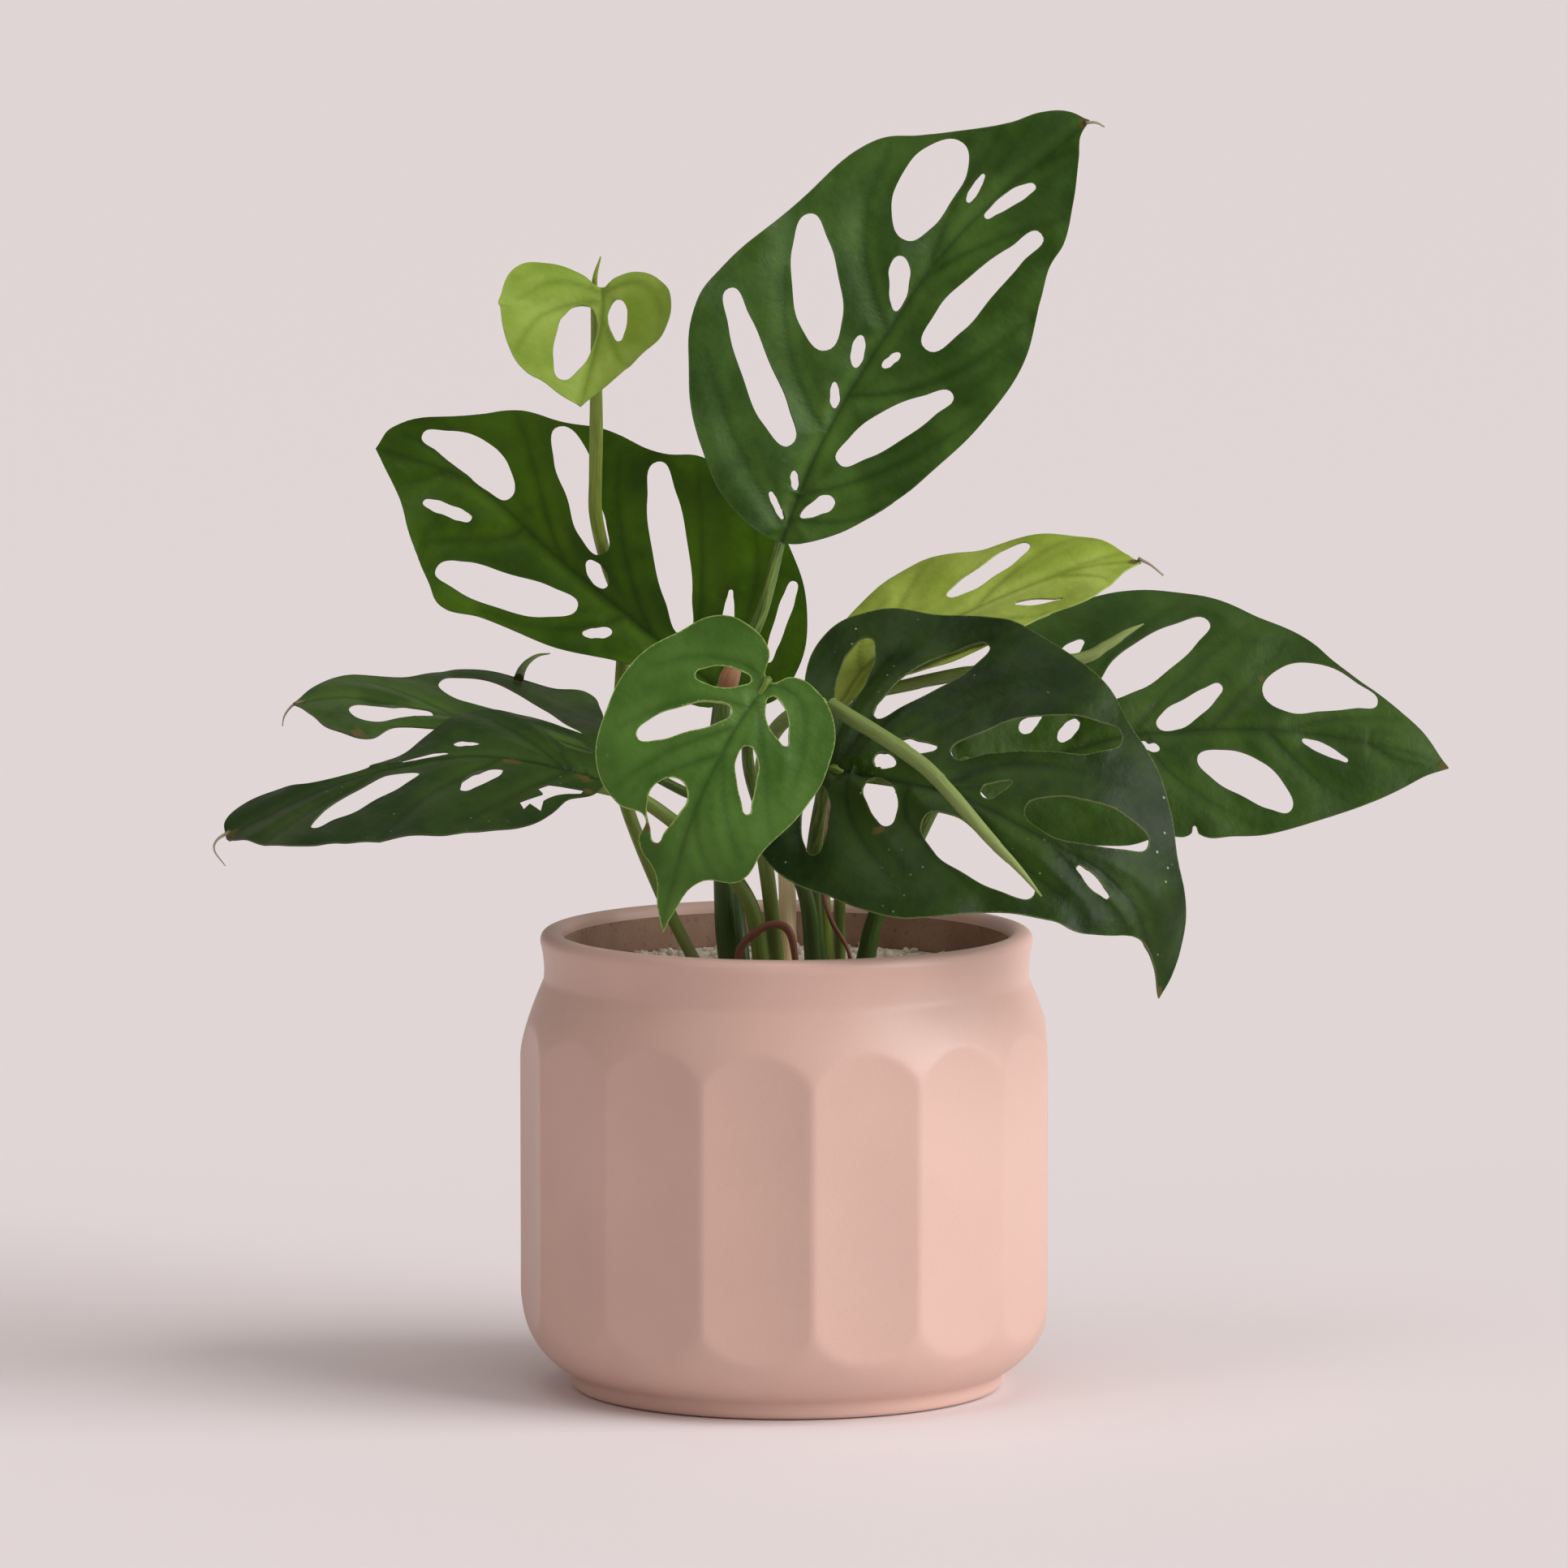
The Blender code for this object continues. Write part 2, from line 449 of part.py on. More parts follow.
def leaf_object(name, leaf, collection, mat):
    """One leaf blade as a thin closed body."""
    obj = add_object(name, blade_mesh(name, leaf), collection, mat)
    shell = obj.modifiers.new("thickness", "SOLIDIFY")
    shell.thickness = LEAF_THICKNESS
    shell.offset = 0.0
    return obj


# ---------------------------------------------------------------- stems
def tube(name, route, radii, collection, mat, depth=ROOTED_DEPTH):
    """A tapering tube along a route of the plant's frame; route and radii are in millimetres.

    An end on the medium's surface goes straight down into it.  Returns these ends, for the sockets.
    """
    path = smooth_path([Vector(p) for p in route], 3)
    widths = [max(w.x, min(radii)) for w in smooth_path([Vector((r, 0, 0)) for r in radii], 3)]
    entries = []
    if route[0][2] == 0:
        entries.append((path[0].x * MM, path[0].y * MM, widths[0] * MM, depth))
        path.insert(0, path[0] - Vector((0, 0, depth / MM)))
        widths.insert(0, widths[0])
    if route[-1][2] == 0:
        entries.append((path[-1].x * MM, path[-1].y * MM, widths[-1] * MM, depth))
        path.append(path[-1] - Vector((0, 0, depth / MM)))
        widths.append(widths[-1])
    curve = bpy.data.curves.new(name, "CURVE")
    curve.dimensions = "3D"
    curve.bevel_depth = MM
    curve.bevel_resolution = STEM_SIDES
    curve.use_fill_caps = True
    spline = curve.splines.new("POLY")
    spline.points.add(len(path) - 1)
    for point, place, width in zip(spline.points, path, widths):
        point.co = (*plant(place), 1)
        point.radius = width
    add_object(name, curve, collection, mat)
    return entries


def stem_end(stem):
    """Where a stem meets its leaf: just under the base of the blade, in the plant's frame."""
    point, right, up = Blade(LEAVES[stem.leaf]).frame(1.5 * MM)
    end = point - up * (LEAF_THICKNESS / 2 + stem.end_radius * MM + FIT_GAP)
    return tuple((end - Vector((0, 0, MEDIUM_TOP))) / MM)


def build():
    """The whole part."""
    for obj in list(bpy.data.objects):
        bpy.data.objects.remove(obj)
    parts = bpy.data.collections.new("potted_monstera")
    flutes = bpy.data.collections.new("flute_cutters")
    sockets = bpy.data.collections.new("socket_cutters")
    for group in (parts, flutes, sockets):
        bpy.context.scene.collection.children.link(group)

    ceramic = material("pot_ceramic", (0.72, 0.50, 0.42), 0.5)
    grit = material("pale_grit", (0.72, 0.68, 0.60), 0.9)
    dark_leaf = material("dark_leaf", (0.03, 0.09, 0.02), 0.45)
    front_leaf = material("front_leaf", (0.08, 0.20, 0.04), 0.45)
    young_leaf = material("young_leaf", (0.30, 0.45, 0.08), 0.5)
    dark_stem = material("dark_stem", (0.06, 0.14, 0.03), 0.5)
    pale_stem = material("pale_stem", (0.30, 0.42, 0.14), 0.5)
    dry_wood = material("dry_wood", (0.70, 0.58, 0.38), 0.8)
    root_bark = material("root_bark", (0.16, 0.06, 0.04), 0.8)

    pot(parts, flutes, ceramic)

    pale_leaves = {"leaf_young_heart": young_leaf, "leaf_pale_right": young_leaf, "leaf_front": front_leaf}
    for name, leaf in LEAVES.items():
        leaf_object(name, leaf, parts, pale_leaves.get(name, dark_leaf))

    entries = []
    for name, stem in STEMS.items():
        route = stem.route + [stem_end(stem)]
        taper = (stem.end_radius - stem.radius) / (len(route) - 1)
        radii = [stem.radius + taper * i for i in range(len(route))]
        entries += tube(name, route, radii, parts, pale_stem if name.startswith("vine") else dark_stem)
    entries += tube("vine_left", VINE_LEFT[0], VINE_LEFT[1], parts, pale_stem)
    for name, (stem_name, route, roll, radii) in ROLLED.items():
        entries += tube(stem_name, route, [radii[0]] * len(route), parts, pale_stem)
        tube(name, roll, radii, parts, pale_stem)
    entries += tube("stake", STAKE, [STAKE_RADIUS] * len(STAKE), parts, dry_wood)
    for name, (route, radii) in AERIAL_ROOTS.items():
        entries += tube(name, route, radii, parts, root_bark, ROOT_TIP_DEPTH)

    cutters = [socket_cutter(x, y, (radius + FIT_GAP) / cos(pi / 8) + FIT_GAP, depth + FIT_GAP, sockets)
               for x, y, radius, depth in entries]
    growing_medium(parts, cutters, grit)


build()
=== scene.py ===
"""Looks of the potted monstera: living leaves, stems, grit and the fluted pot, around the CAD frame."""
import random
from collections import namedtuple
from math import atan2, cos, exp, hypot, log, pi, radians, sin

import bpy
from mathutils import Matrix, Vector, noise
from mathutils.kdtree import KDTree


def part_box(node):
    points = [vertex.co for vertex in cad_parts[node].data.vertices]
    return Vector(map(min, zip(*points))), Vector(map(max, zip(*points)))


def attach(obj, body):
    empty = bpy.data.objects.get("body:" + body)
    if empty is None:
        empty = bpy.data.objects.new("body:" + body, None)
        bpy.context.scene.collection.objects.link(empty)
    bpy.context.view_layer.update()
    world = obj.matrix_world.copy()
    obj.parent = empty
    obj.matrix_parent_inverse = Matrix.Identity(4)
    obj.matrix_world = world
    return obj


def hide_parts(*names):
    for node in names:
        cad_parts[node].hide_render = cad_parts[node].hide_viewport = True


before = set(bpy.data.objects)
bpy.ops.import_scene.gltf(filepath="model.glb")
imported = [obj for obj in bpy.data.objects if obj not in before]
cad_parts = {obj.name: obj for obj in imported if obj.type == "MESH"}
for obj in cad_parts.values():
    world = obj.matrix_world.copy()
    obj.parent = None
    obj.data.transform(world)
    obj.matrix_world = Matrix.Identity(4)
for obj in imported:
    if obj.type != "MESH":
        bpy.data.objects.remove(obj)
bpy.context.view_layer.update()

MM = 0.001
BODY = "root"
MEDIUM_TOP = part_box("growing_medium")[1].z

# ---------------------------------------------------------------- pot sizes (metres)
POT_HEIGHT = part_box("pot")[1].z
BELLY_RADIUS = 0.0624
WALL = 0.0054
FLOOR_THICKNESS = 0.0070
FOOT_INSET = 0.0118
FOOT_HEIGHT = 0.0037
FOOT_ROUNDING = 0.0016
BELLY_LOW = 0.0225              # height from which the wall turns in to the foot
SHOULDER_DROP = 0.0305
NECK_DROP = 0.0115
NECK_INSET = 0.0056
LIP_FLARE = 0.0008
LIP_DROP = 0.0025
SHOULDER = POT_HEIGHT - SHOULDER_DROP
THROAT = POT_HEIGHT - NECK_DROP
BRIM = POT_HEIGHT - LIP_DROP
NECK_RADIUS = BELLY_RADIUS - NECK_INSET
FLUTES = 15
FLUTE_START = radians(-84.4)
FLUTE_HOLLOW = 0.00045          # how far the middle of a flute lies below the chord between arrises
FLUTE_SOFTNESS = 0.00007        # rounding of the arrises
POT_SEGMENTS = 24 * FLUTES

# ---------------------------------------------------------------- leaf sizes
BLADE_THICKNESS = 0.00045
SHEET_CELL = 0.0008             # fineness of a blade's mesh
CREASE_WIDTH = 0.0006           # half width of the dark line along a vein
QUILT_WIDTH = 0.0046            # half width of the line along a vein: painted shade on the upper side, a pale vein below
QUILT_DEPTH = 0.0012
RIPPLE = 0.0013                 # gentle waves of the blade
RIB_HEIGHT = 0.0006             # midrib and veins stand out below
EDGE_REACH = 0.0030             # how far in from its edges a blade curls
RIM_WIDTH = 0.0003              # width of the pale line along the edges
SHEEN = 0.14                    # specular level of the upper sides

# How much stronger waves and valleys are on single leaves.
RELIEF = {"leaf_front_right": 1.7, "leaf_top": 1.4, "leaf_back_left": 1.2, "leaf_left_low": 1.3}

# midrib  points from the base of the blade to its tip, in the plant's frame (millimetres)
# across  direction of the blade's right side, seen from above with the tip ahead
# fold    degrees by which both halves are raised above the midrib
# margin  outline (across, along), from the base up the left side and down the right one
# holes   (x, y) of the inner end, (x, y) of the outer end, three widths, sideways bow
# veins   start along the midrib, then (x, y) half way and (x, y) at the end
Leaf = namedtuple("Leaf", "midrib across fold margin holes veins")

LEAVES = {
    "leaf_top": Leaf(
        midrib=[(-1, 4, 101), (8, 8, 123), (23, 15, 148), (41, 22, 172), (71, 27, 198)],
        across=(0.82, 0.05, -0.57), fold=8,
        margin=[(0, 0), (-14, 3), (-26, 13), (-36, 24), (-43, 37), (-42, 46), (-35, 68), (-30, 86),
                (-23.5, 93), (-18.5, 99.5), (-12, 110), (-9, 117.5), (-5, 122.5), (0, 125), (1.5, 121),
                (5, 117.5), (12.5, 109.5), (18, 102), (20, 95), (24, 87), (30, 70), (30, 50), (27, 36),
                (18, 14), (7, 3)],
        holes=[(-9.2, 75, -15.6, 98.8, 10.5, 13.5, 11.5, 1), (-4, 91, -6.5, 98, 2, 2, 1.5, 0),
               (1.5, 91.5, 3.5, 105.5, 2.5, 3.5, 3, 0.5), (-10, 44, -31.5, 67, 10, 11.5, 8.5, 0.5),
               (9.5, 57, 13, 99, 7.5, 7, 4.5, -0.5), (-1, 61, -8, 71.5, 4, 5, 5, -0.5),
               (-6.5, 21.5, -38, 43, 7, 7, 5.5, 0.5), (-2, 44.5, -5, 51.5, 3, 3.5, 3, 0),
               (3.5, 48, 5, 53, 2, 2, 2, 0), (-1, 34, -4.5, 39, 2.5, 2.5, 2, 0),
               (5.5, 22.5, 20.5, 51.5, 6.5, 8, 5.5, 0.5), (-1, 12.5, -3.5, 16.5, 2, 2, 2, 0),
               (-1.5, 5, -7, 10, 1.5, 1.5, 1.5, 0), (2, 7, 8, 14, 2.5, 3.5, 4, 0)],
        veins=[(3, -20.5, 18, -37, 31), (27.5, -22, 43.5, -34.5, 66), (56, -16.5, 69, -27, 88),
               (73, -6, 89, -12, 108), (6, 12.5, 10, 21, 18.5), (12, 16, 26, 28, 50),
               (38, 17, 54, 25, 78), (71, 6, 87, 14, 106), (98, 0, 108, 3, 118)]),
    "leaf_back_left": Leaf(
        midrib=[(-16, 30, 64), (-30, 33, 75), (-54, 39, 94), (-74, 45, 111), (-97, 51, 119)],
        across=(0.615, 0.23, 0.73), fold=6,
        margin=[(0, -3), (-5, -1), (-9, 19), (-17, 35), (-23, 52), (-28, 60), (-26, 67), (-20, 83),
                (-9, 93), (0, 102), (6, 100), (15, 83), (21, 76), (24, 70), (30, 62), (35, 46),
                (40, 38), (41, 22), (36, 7), (27, -5), (14, -12), (4, -11)],
        holes=[(2.5, 67.5, 6.5, 92.5, 7.5, 9, 5.5, -1.5), (-7.5, 71, -9, 86, 3, 3, 3, 0.5),
               (-6, 38, -22, 69, 7.5, 8.5, 7.5, 1), (2, 36, 4, 43.5, 3.5, 4, 3, 0),
               (5, 14.5, 32.5, 46, 6.5, 8.5, 7, 0), (-5.5, 28, -10.5, 33, 3, 3, 2.5, 0),
               (7.5, 41.5, 23, 69.5, 7, 7, 8, 0.5), (12.5, 7.5, 20, 12.5, 2.5, 2.5, 1.5, 0),
               (12, -5, 31, 2, 2.5, 3, 3, 0)],
        veins=[(20, 10, 36.5, 28, 56), (47, 9, 64, 20, 77), (8, 19.5, 21, 38, 38), (2, 21, 7, 37, 20),
               (76, 4, 87, 5, 97), (60, -9.5, 65, -19, 80), (28, -13, 37.5, -22, 54),
               (84, -5, 90, -6, 94), (8, -5, 14, -10, 27)]),
    "leaf_young_heart": Leaf(
        midrib=[(-43, 18, 160), (-43, 15, 154), (-44, 12, 148), (-48, 7, 133)],
        across=(-0.99, 0.05, 0.14), fold=8,
        margin=[(0, 0), (-3, -2), (-9, -3), (-14, 0), (-16, 4), (-15, 10), (-11, 15), (-4, 25), (0, 30),
                (5, 29), (10, 27), (14, 26), (19, 22), (24, 11), (24, 3), (20, -4), (13, -5), (5, -3)],
        holes=[(4.5, 4.5, 6, 25.5, 8, 9, 6.5, 0), (-3.5, 3.5, -5, 13, 4, 4.5, 3, -0.5)],
        veins=[(2, 11, -0.5, 20, 5), (2, -9, 0, -14, 8), (8, -6, 17, -10, 17), (4, 12, 8, 18, 22)]),
    "leaf_left_low": Leaf(
        midrib=[(-44, -12, 49), (-60, -14, 53), (-79, -16, 54), (-106, -18, 47), (-130, -20, 35)],
        across=(0.02, 0.93, 0.3), fold=-3,
        margin=[(0, -2), (-10, 0), (-17, 6), (-29, 13), (-38, 28), (-40, 36), (-37, 54), (-34, 61),
                (-25, 76), (-17, 82), (-7, 87), (1, 91), (8, 89), (12, 82), (11, 75), (5, 67), (5, 50),
                (18, 36), (26, 27), (27, 19), (22.8, 7), (17, -1)],
        holes=[(-7, 43, -19, 71.5, 9, 11, 7.5, -2.5), (-6, 23.5, -19, 33.5, 6.5, 7.5, 5, -0.5),
               (6.5, 27.5, 8, 33.5, 2, 2.5, 3, 0), (3, 35, 2.5, 47, 2.5, 2.5, 2, 0.5),
               (9.5, 1.2, 21, 12, 5, 6.5, 4.5, -0.3)],
        veins=[(6, -18.5, 19, -36, 38), (22, -18, 40, -36, 57), (52, -7, 67, -14, 83),
               (8, 13, 18, 24, 28), (33, 1, 42.5, 4, 50), (2, 3, 7, 19, 10)]),
    "leaf_left_rear": Leaf(
        midrib=[(-43, 25, 50), (-67, 25, 57), (-81, 24, 59), (-101, 22, 63), (-114, 20, 62)],
        across=(0.02, 0.95, 0.25), fold=-2,
        margin=[(0, -1), (-2, 3), (-2.5, 12), (-4, 24), (-7, 36), (-10, 42), (-15, 51), (-24, 59),
                (-21, 68), (-10, 72), (0, 75), (8, 69), (14, 62), (18, 52), (27, 40), (33, 32),
                (35, 15), (37, 7), (29, 3), (15, 1), (6, 0)],
        holes=[(0.5, 41, -10.5, 62, 6, 9, 10, 0), (6, 6, 22, 39, 7, 16, 18, 0)],
        veins=[(36, 9, 49, 11, 60), (24, -7, 35.5, -14, 46), (10, -5, 20, -11, 27)]),
    "leaf_front": Leaf(
        midrib=[(-4, -56, 75), (-13, -60, 62), (-22, -63, 43), (-29, -58, 18)],
        across=(-0.91, -0.03, 0.4), fold=-6,
        margin=[(0, 0), (-4, -4), (-9, -5), (-18, -1), (-23, 9), (-23, 22), (-18, 39), (-15, 48),
                (-6, 51), (-2, 60), (-1, 65), (2, 59), (4, 52), (10, 45), (10, 40), (17, 39), (25, 33),
                (28, 23), (28, 13), (24, 4), (18, -6), (11, -8), (4, -6)],
        holes=[(3.5, 2, 14.5, 8.5, 3.5, 5, 3.5, 0), (3, 10.5, 19, 25, 5, 5.5, 5, -0.5),
               (-2.5, 2.5, -12, 10, 4, 5, 3, 0), (-4.5, 15.5, -11.5, 30.5, 5, 4.5, 2.5, 0),
               (6, 29.5, 6, 44.5, 8, 7.5, 3.5, -1)],
        veins=[(2, 10, 1, 24, 12), (8, 12.5, 13.5, 23.5, 25), (13, 11, 25, 19, 36), (20, 7, 27, 12, 32),
               (36, 0, 45, 1, 52), (1, -12, 2, -19, 22), (5, -9.5, 17, -18.5, 34),
               (19, -5, 29.5, -13.5, 43), (34, -4.5, 43.5, -10, 49)]),
    "leaf_front_right": Leaf(
        midrib=[(9, -38, 54), (39, -52, 49), (59, -56, 39), (73, -56, 31), (82, -53, 19), (86, -46, 0)],
        across=(-0.5, -0.475, -0.71), fold=-6,
        margin=[(0, -1), (-12, -10), (-24, -16), (-36, -17), (-45, -9), (-49, 8), (-51, 22), (-47, 36),
                (-42, 53), (-35, 66), (-25, 76), (-17, 84), (-12.5, 99), (-6.6, 105.3), (-1, 109),
                (-1.2, 101), (1, 93), (11, 83.5), (15.3, 76), (16.8, 66), (19.7, 57.5), (31, 42),
                (34, 28), (33, 15), (27, -5), (15, -12), (5, -8)],
        holes=[(-17, -4, -38, -6, 5.5, 7, 6, 0), (-16, 5.5, -42.5, 23, 7, 10, 8.5, 1),
               (-10.5, 13.5, -11, 23.5, 4, 4, 3, -1), (-5, 10, -4, 16, 4, 4, 2.5, 0),
               (0.5, 11, 12, 20, 6, 7, 5, 1), (5, -0.5, 23, 6, 6, 6.5, 5, -0.5),
               (8, 28, 13, 60, 9.5, 9.5, 7, -1.5), (-2.5, 38.5, -9, 43, 3.5, 3, 2, 0),
               (-4.5, 49, -13.5, 77, 9, 10.5, 8, -0.5), (2, 66, 3.5, 77.5, 2, 3, 2, -0.5),
               (-10, 27.5, -32.5, 63, 6, 9, 9, 3)],
        veins=[(0, -20, -1, -42, 3), (9, -18.5, 19.5, -34, 38), (28, -15, 44.5, -22, 70),
               (55, -4.5, 69.5, -12.5, 85), (6, 13, 11.5, 26, 28), (22, 11.5, 27, 20, 52),
               (1, 10.5, -2.5, 26, 4), (36, 8, 54, 11, 73), (58, 4.5, 71.5, 4.5, 89),
               (2, -32, 11, -45, 24)]),
    "leaf_right": Leaf(
        midrib=[(41, 6, 50), (59, 11, 50), (84, 17, 55), (117, 22, 55), (145, 25, 50), (156, 26, 46)],
        across=(0.1, -0.5, -0.86), fold=-4,
        margin=[(0, -1), (-6, -2), (-14, 1), (-24, 8), (-31, 19), (-36, 36), (-38, 48), (-36, 61),
                (-30, 74), (-26, 83), (-20, 90), (-14, 99), (-8.5, 108), (0, 119), (7.5, 111),
                (17, 97.5), (25, 79.5), (26.8, 65), (26.3, 55.4), (24.2, 54.2), (26.1, 53), (26, 45),
                (26, 30), (19, 16), (6, 2)],
        holes=[(-1.5, 48.5, -12, 64.5, 5.5, 5.5, 4, -1), (7, 57, 20, 80.5, 8.5, 10.5, 8, 1.5),
               (1.5, 83, 5.5, 94.5, 2.5, 3, 2, 0), (2, 43, 4.5, 48, 2, 2.5, 2.5, 0),
               (-10.5, 38, -29, 63, 8.5, 10, 7, 0.5), (-22.5, 31.5, -27, 38, 2.5, 3.5, 2.5, 0),
               (-9, 74, -10.8, 100, 12.5, 13, 7.5, 2.9), (-7, 16, -10.5, 23, 3.5, 3.5, 2, 0.5),
               (-3, 25, -7.5, 31.5, 3, 3.5, 3, 0)],
        veins=[(61, -10.5, 70, -24, 79), (42, -10.5, 52.5, -27, 71), (28, -19, 40, -34, 58),
               (79, -5, 91.5, -8, 106), (46, 12.5, 51, 24, 70), (74, 10.5, 85.5, 16, 97),
               (20, 9.5, 25.5, 21, 38), (99, 2.5, 107, 2, 115), (10, 6.5, 17.5, 16, 25)]),
    "leaf_pale_right": Leaf(
        midrib=[(12, -6, 66), (21, -4, 76), (45, 0, 87), (67, 4, 95), (83, 6, 97)],
        across=(0.2, -0.82, -0.37), fold=5,
        margin=[(0, -1), (-10, 4), (-17, 13), (-23, 26), (-25, 35), (-20, 48), (-17, 60), (-10, 72),
                (0, 80), (7, 74), (17, 64), (18, 50), (20, 36), (18, 22), (12, 9), (6, 1)],
        holes=[(-8, 35, -15, 58, 5.5, 5.5, 5.5, 0), (7.5, 47, 13, 57.5, 2.5, 3, 1.5, -0.5)],
        veins=[(17, -15, 27, -24, 37), (39, -7.5, 52, -12, 67), (56, -1.5, 68, -4, 76),
               (30, 12, 42, 18, 52), (8, -9, 14, -16, 22), (14, 9, 20, 17, 30), (60, 5, 68, 9, 71)]),
}

# Torn holes: their corners (across, along), in millimetres.
TEARS = {
    "leaf_left_low": [(-11.3, 11.6), (-11.4, 7), (-10.8, 3.1), (-13.3, 4), (-15.7, 7), (-22.3, 13.5),
                      (-26.6, 14.2), (-23.5, 16.9), (-25.9, 18.3), (-22.2, 19.3), (-18.9, 13.6),
                      (-15.4, 14.8)],
}

# Dry brown marks: (across, along, radius) in millimetres.
DRY_MARKS = {
    "leaf_left_low": [(-2, 20.5, 2.6), (-4, 3, 2.4), (-11, 2.5, 1.4), (0, 90, 3)],
    "leaf_left_rear": [(-22, 61, 3.2), (1, 74, 2.5), (32, 23, 1.8)],
    "leaf_front": [(8.6, 41.5, 1.6), (6.2, 44.4, 1.2)],
    "leaf_front_right": [(13.4, 18.6, 1.6), (-1, 108, 2.2)],
    "leaf_right": [(25.4, 54, 1.3), (-13.7, 74, 0.9), (0, 118, 1.6)],
    "leaf_top": [(0, 124, 1.8)],
    "leaf_pale_right": [(0, 79, 2)],
}

# A torn strip that curls away from its blade: (across, along, above it), with its half widths.
Strip = namedtuple("Strip", "leaf route radii")
CURLED_STRIP = Strip("leaf_left_rear",
                     [(32.4, 23, 0), (37, 22.8, 0.6), (41, 22, 1.6), (45, 20.3, 2.6), (47, 18, 3.2)],
                     [1.2, 1.0, 0.7, 0.4, 0.15])

# Fine dry tips: routes in the plant's frame (millimetres), from the tip of the blade outwards.
DRY_TIPS = {
    "leaf_left_low": [(-129, -20, 36), (-132, -21, 34), (-132.5, -21, 31.5), (-130, -21, 28)],
    "leaf_left_rear": [(-113, 20, 62), (-116, 20, 61), (-118, 20, 58.5), (-118.5, 20, 56)],
    "leaf_pale_right": [(82, 6, 97), (85, 6, 95.5), (88, 6, 93)],
    "leaf_top": [(70, 27, 197.5), (72.5, 27, 197.5), (74.5, 27, 196.5)],
}
DRY_TIP_RADII = [0.45, 0.3, 0.22, 0.1]

# ---------------------------------------------------------------- stems (millimetres)
Stem = namedtuple("Stem", "leaf radius end_radius route")

STEMS = {
    "petiole_top": Stem("leaf_top", 2.6, 1.2,
                        [(-13, -2, 0), (-14.5, -2, 14), (-15, -1, 38), (-15, 0, 61), (-13, 1, 70),
                         (-6, 3, 84)]),
    "petiole_back_left": Stem("leaf_back_left", 1.8, 1.3,
                              [(-10, 4, 0), (-12, 11, 16), (-15, 25, 33), (-17, 32, 49)]),
    "petiole_left_low": Stem("leaf_left_low", 2.0, 1.6,
                             [(-5.5, -7, 0), (-8, -8, 16), (-15, -9, 27), (-25, -10, 36),
                              (-35, -11, 43)]),
    "petiole_left_rear": Stem("leaf_left_rear", 1.4, 1.1,
                              [(-3, 18, 0), (-3.5, 18, 16), (-6, 18, 28), (-14, 18.5, 36), (-25, 20, 41),
                               (-34.5, 23, 45.5)]),
    "petiole_front": Stem("leaf_front", 2.0, 1.1,
                          [(6.5, -16, 0), (4, -24, 23), (-6, -31, 43), (-9, -41, 59)]),
    "petiole_front_right": Stem("leaf_front_right", 2.2, 1.5,
                                [(8, -5, 0), (6, -10, 20), (7, -22, 37)]),
    "petiole_right": Stem("leaf_right", 2.3, 1.5,
                          [(18, 6, 0), (21, 6, 13), (27, 6, 24), (34, 6, 38)]),
    "vine_pale_right": Stem("leaf_pale_right", 1.6, 1.2,
                            [(10, 8, 0), (9, 7, 13), (8, 2, 36), (9, -2, 52)]),
}
# Routes from the grit upwards, with the radius at each of their points.
VINE_LEFT = ([(-21, 13, 0), (-29.5, 22, 16), (-37.5, 31, 35), (-40, 36, 47), (-39, 40, 66),
              (-38.5, 43.5, 80), (-42.5, 44.6, 92), (-45, 38, 104), (-45, 34.5, 114),
              (-44.8, 32, 126), (-44.8, 28, 147), (-45, 22, 160), (-43.5, 21, 166.5)],
             [1.5, 1.5, 1.6, 1.6, 1.6, 1.6, 1.6, 1.6, 1.6, 1.6, 1.2, 0.7, 0.15])
Shoot = namedtuple("Shoot", "stem stem_route route radii")
ROLLED = {
    "rolled_leaf_front": Shoot(
        "stem_rolled_front",
        [(-2, 2, 0), (-4, -6, 20), (-6, -16, 38), (-5, -28, 55), (0, -36, 64), (8.7, -40.8, 67.8)],
        [(10, -42, 68), (29, -54, 57), (37, -60, 50), (46, -65, 40), (53, -68, 33), (58, -69, 27)],
        [1.8, 1.8, 1.7, 1.4, 0.8, 0.2]),
    "rolled_leaf_rear": Shoot(
        "stem_rolled_rear",
        [(12.5, 14, 0), (12.5, 10, 18), (14, 1, 38), (17, -9, 56), (20.3, -13.3, 66.6)],
        [(21, -14, 68), (42, -12, 72), (67, -10, 75), (74, -9, 78), (79, -8, 81), (83, -7, 83)],
        [1.4, 1.6, 1.5, 1.2, 0.8, 0.15]),
}
STAKE_RADIUS = 2.1
STAKE = [(0.5, 9, 0), (0, 11, 23), (-0.5, 13, 38)]
AERIAL_ROOTS = {
    "aerial_root_left": ([(-11, -14, 0), (-11, -14, 7), (-8, -14, 11), (-3, -14, 13.5), (1, -14, 11),
                          (2.5, -13, 0)],
                         [1.1, 1.0, 0.9, 0.9, 0.9, 0.7]),
    "aerial_root_right": ([(8.6, 2.6, 21), (9, -1, 17), (11, -4, 12), (14.5, -6, 6), (15, -6, 0)],
                          [0.6, 0.6, 0.55, 0.5, 0.5]),
}
# Dry leaf sheaths round a stalk.
SHEATHS = {
    "petiole_top": ([(-14.1, 0.4, 65.5), (-13.3, 0.8, 69), (-12.2, 1.4, 72.5)], [1.9, 2.5, 1.9]),
    "vine_pale_right": ([(8.6, 4.5, 26), (8.2, 2.6, 34), (8.4, 0.5, 43)], [2.0, 2.3, 1.7]),
}
ROOTED = 3                      # how far a stem reaches below the surface of the grit

GRAINS = 620
GRAIN_RING = 0.0505             # grains lie within this radius
FOOT_ROOM = 0.0021              # and this far from the middle of a stem


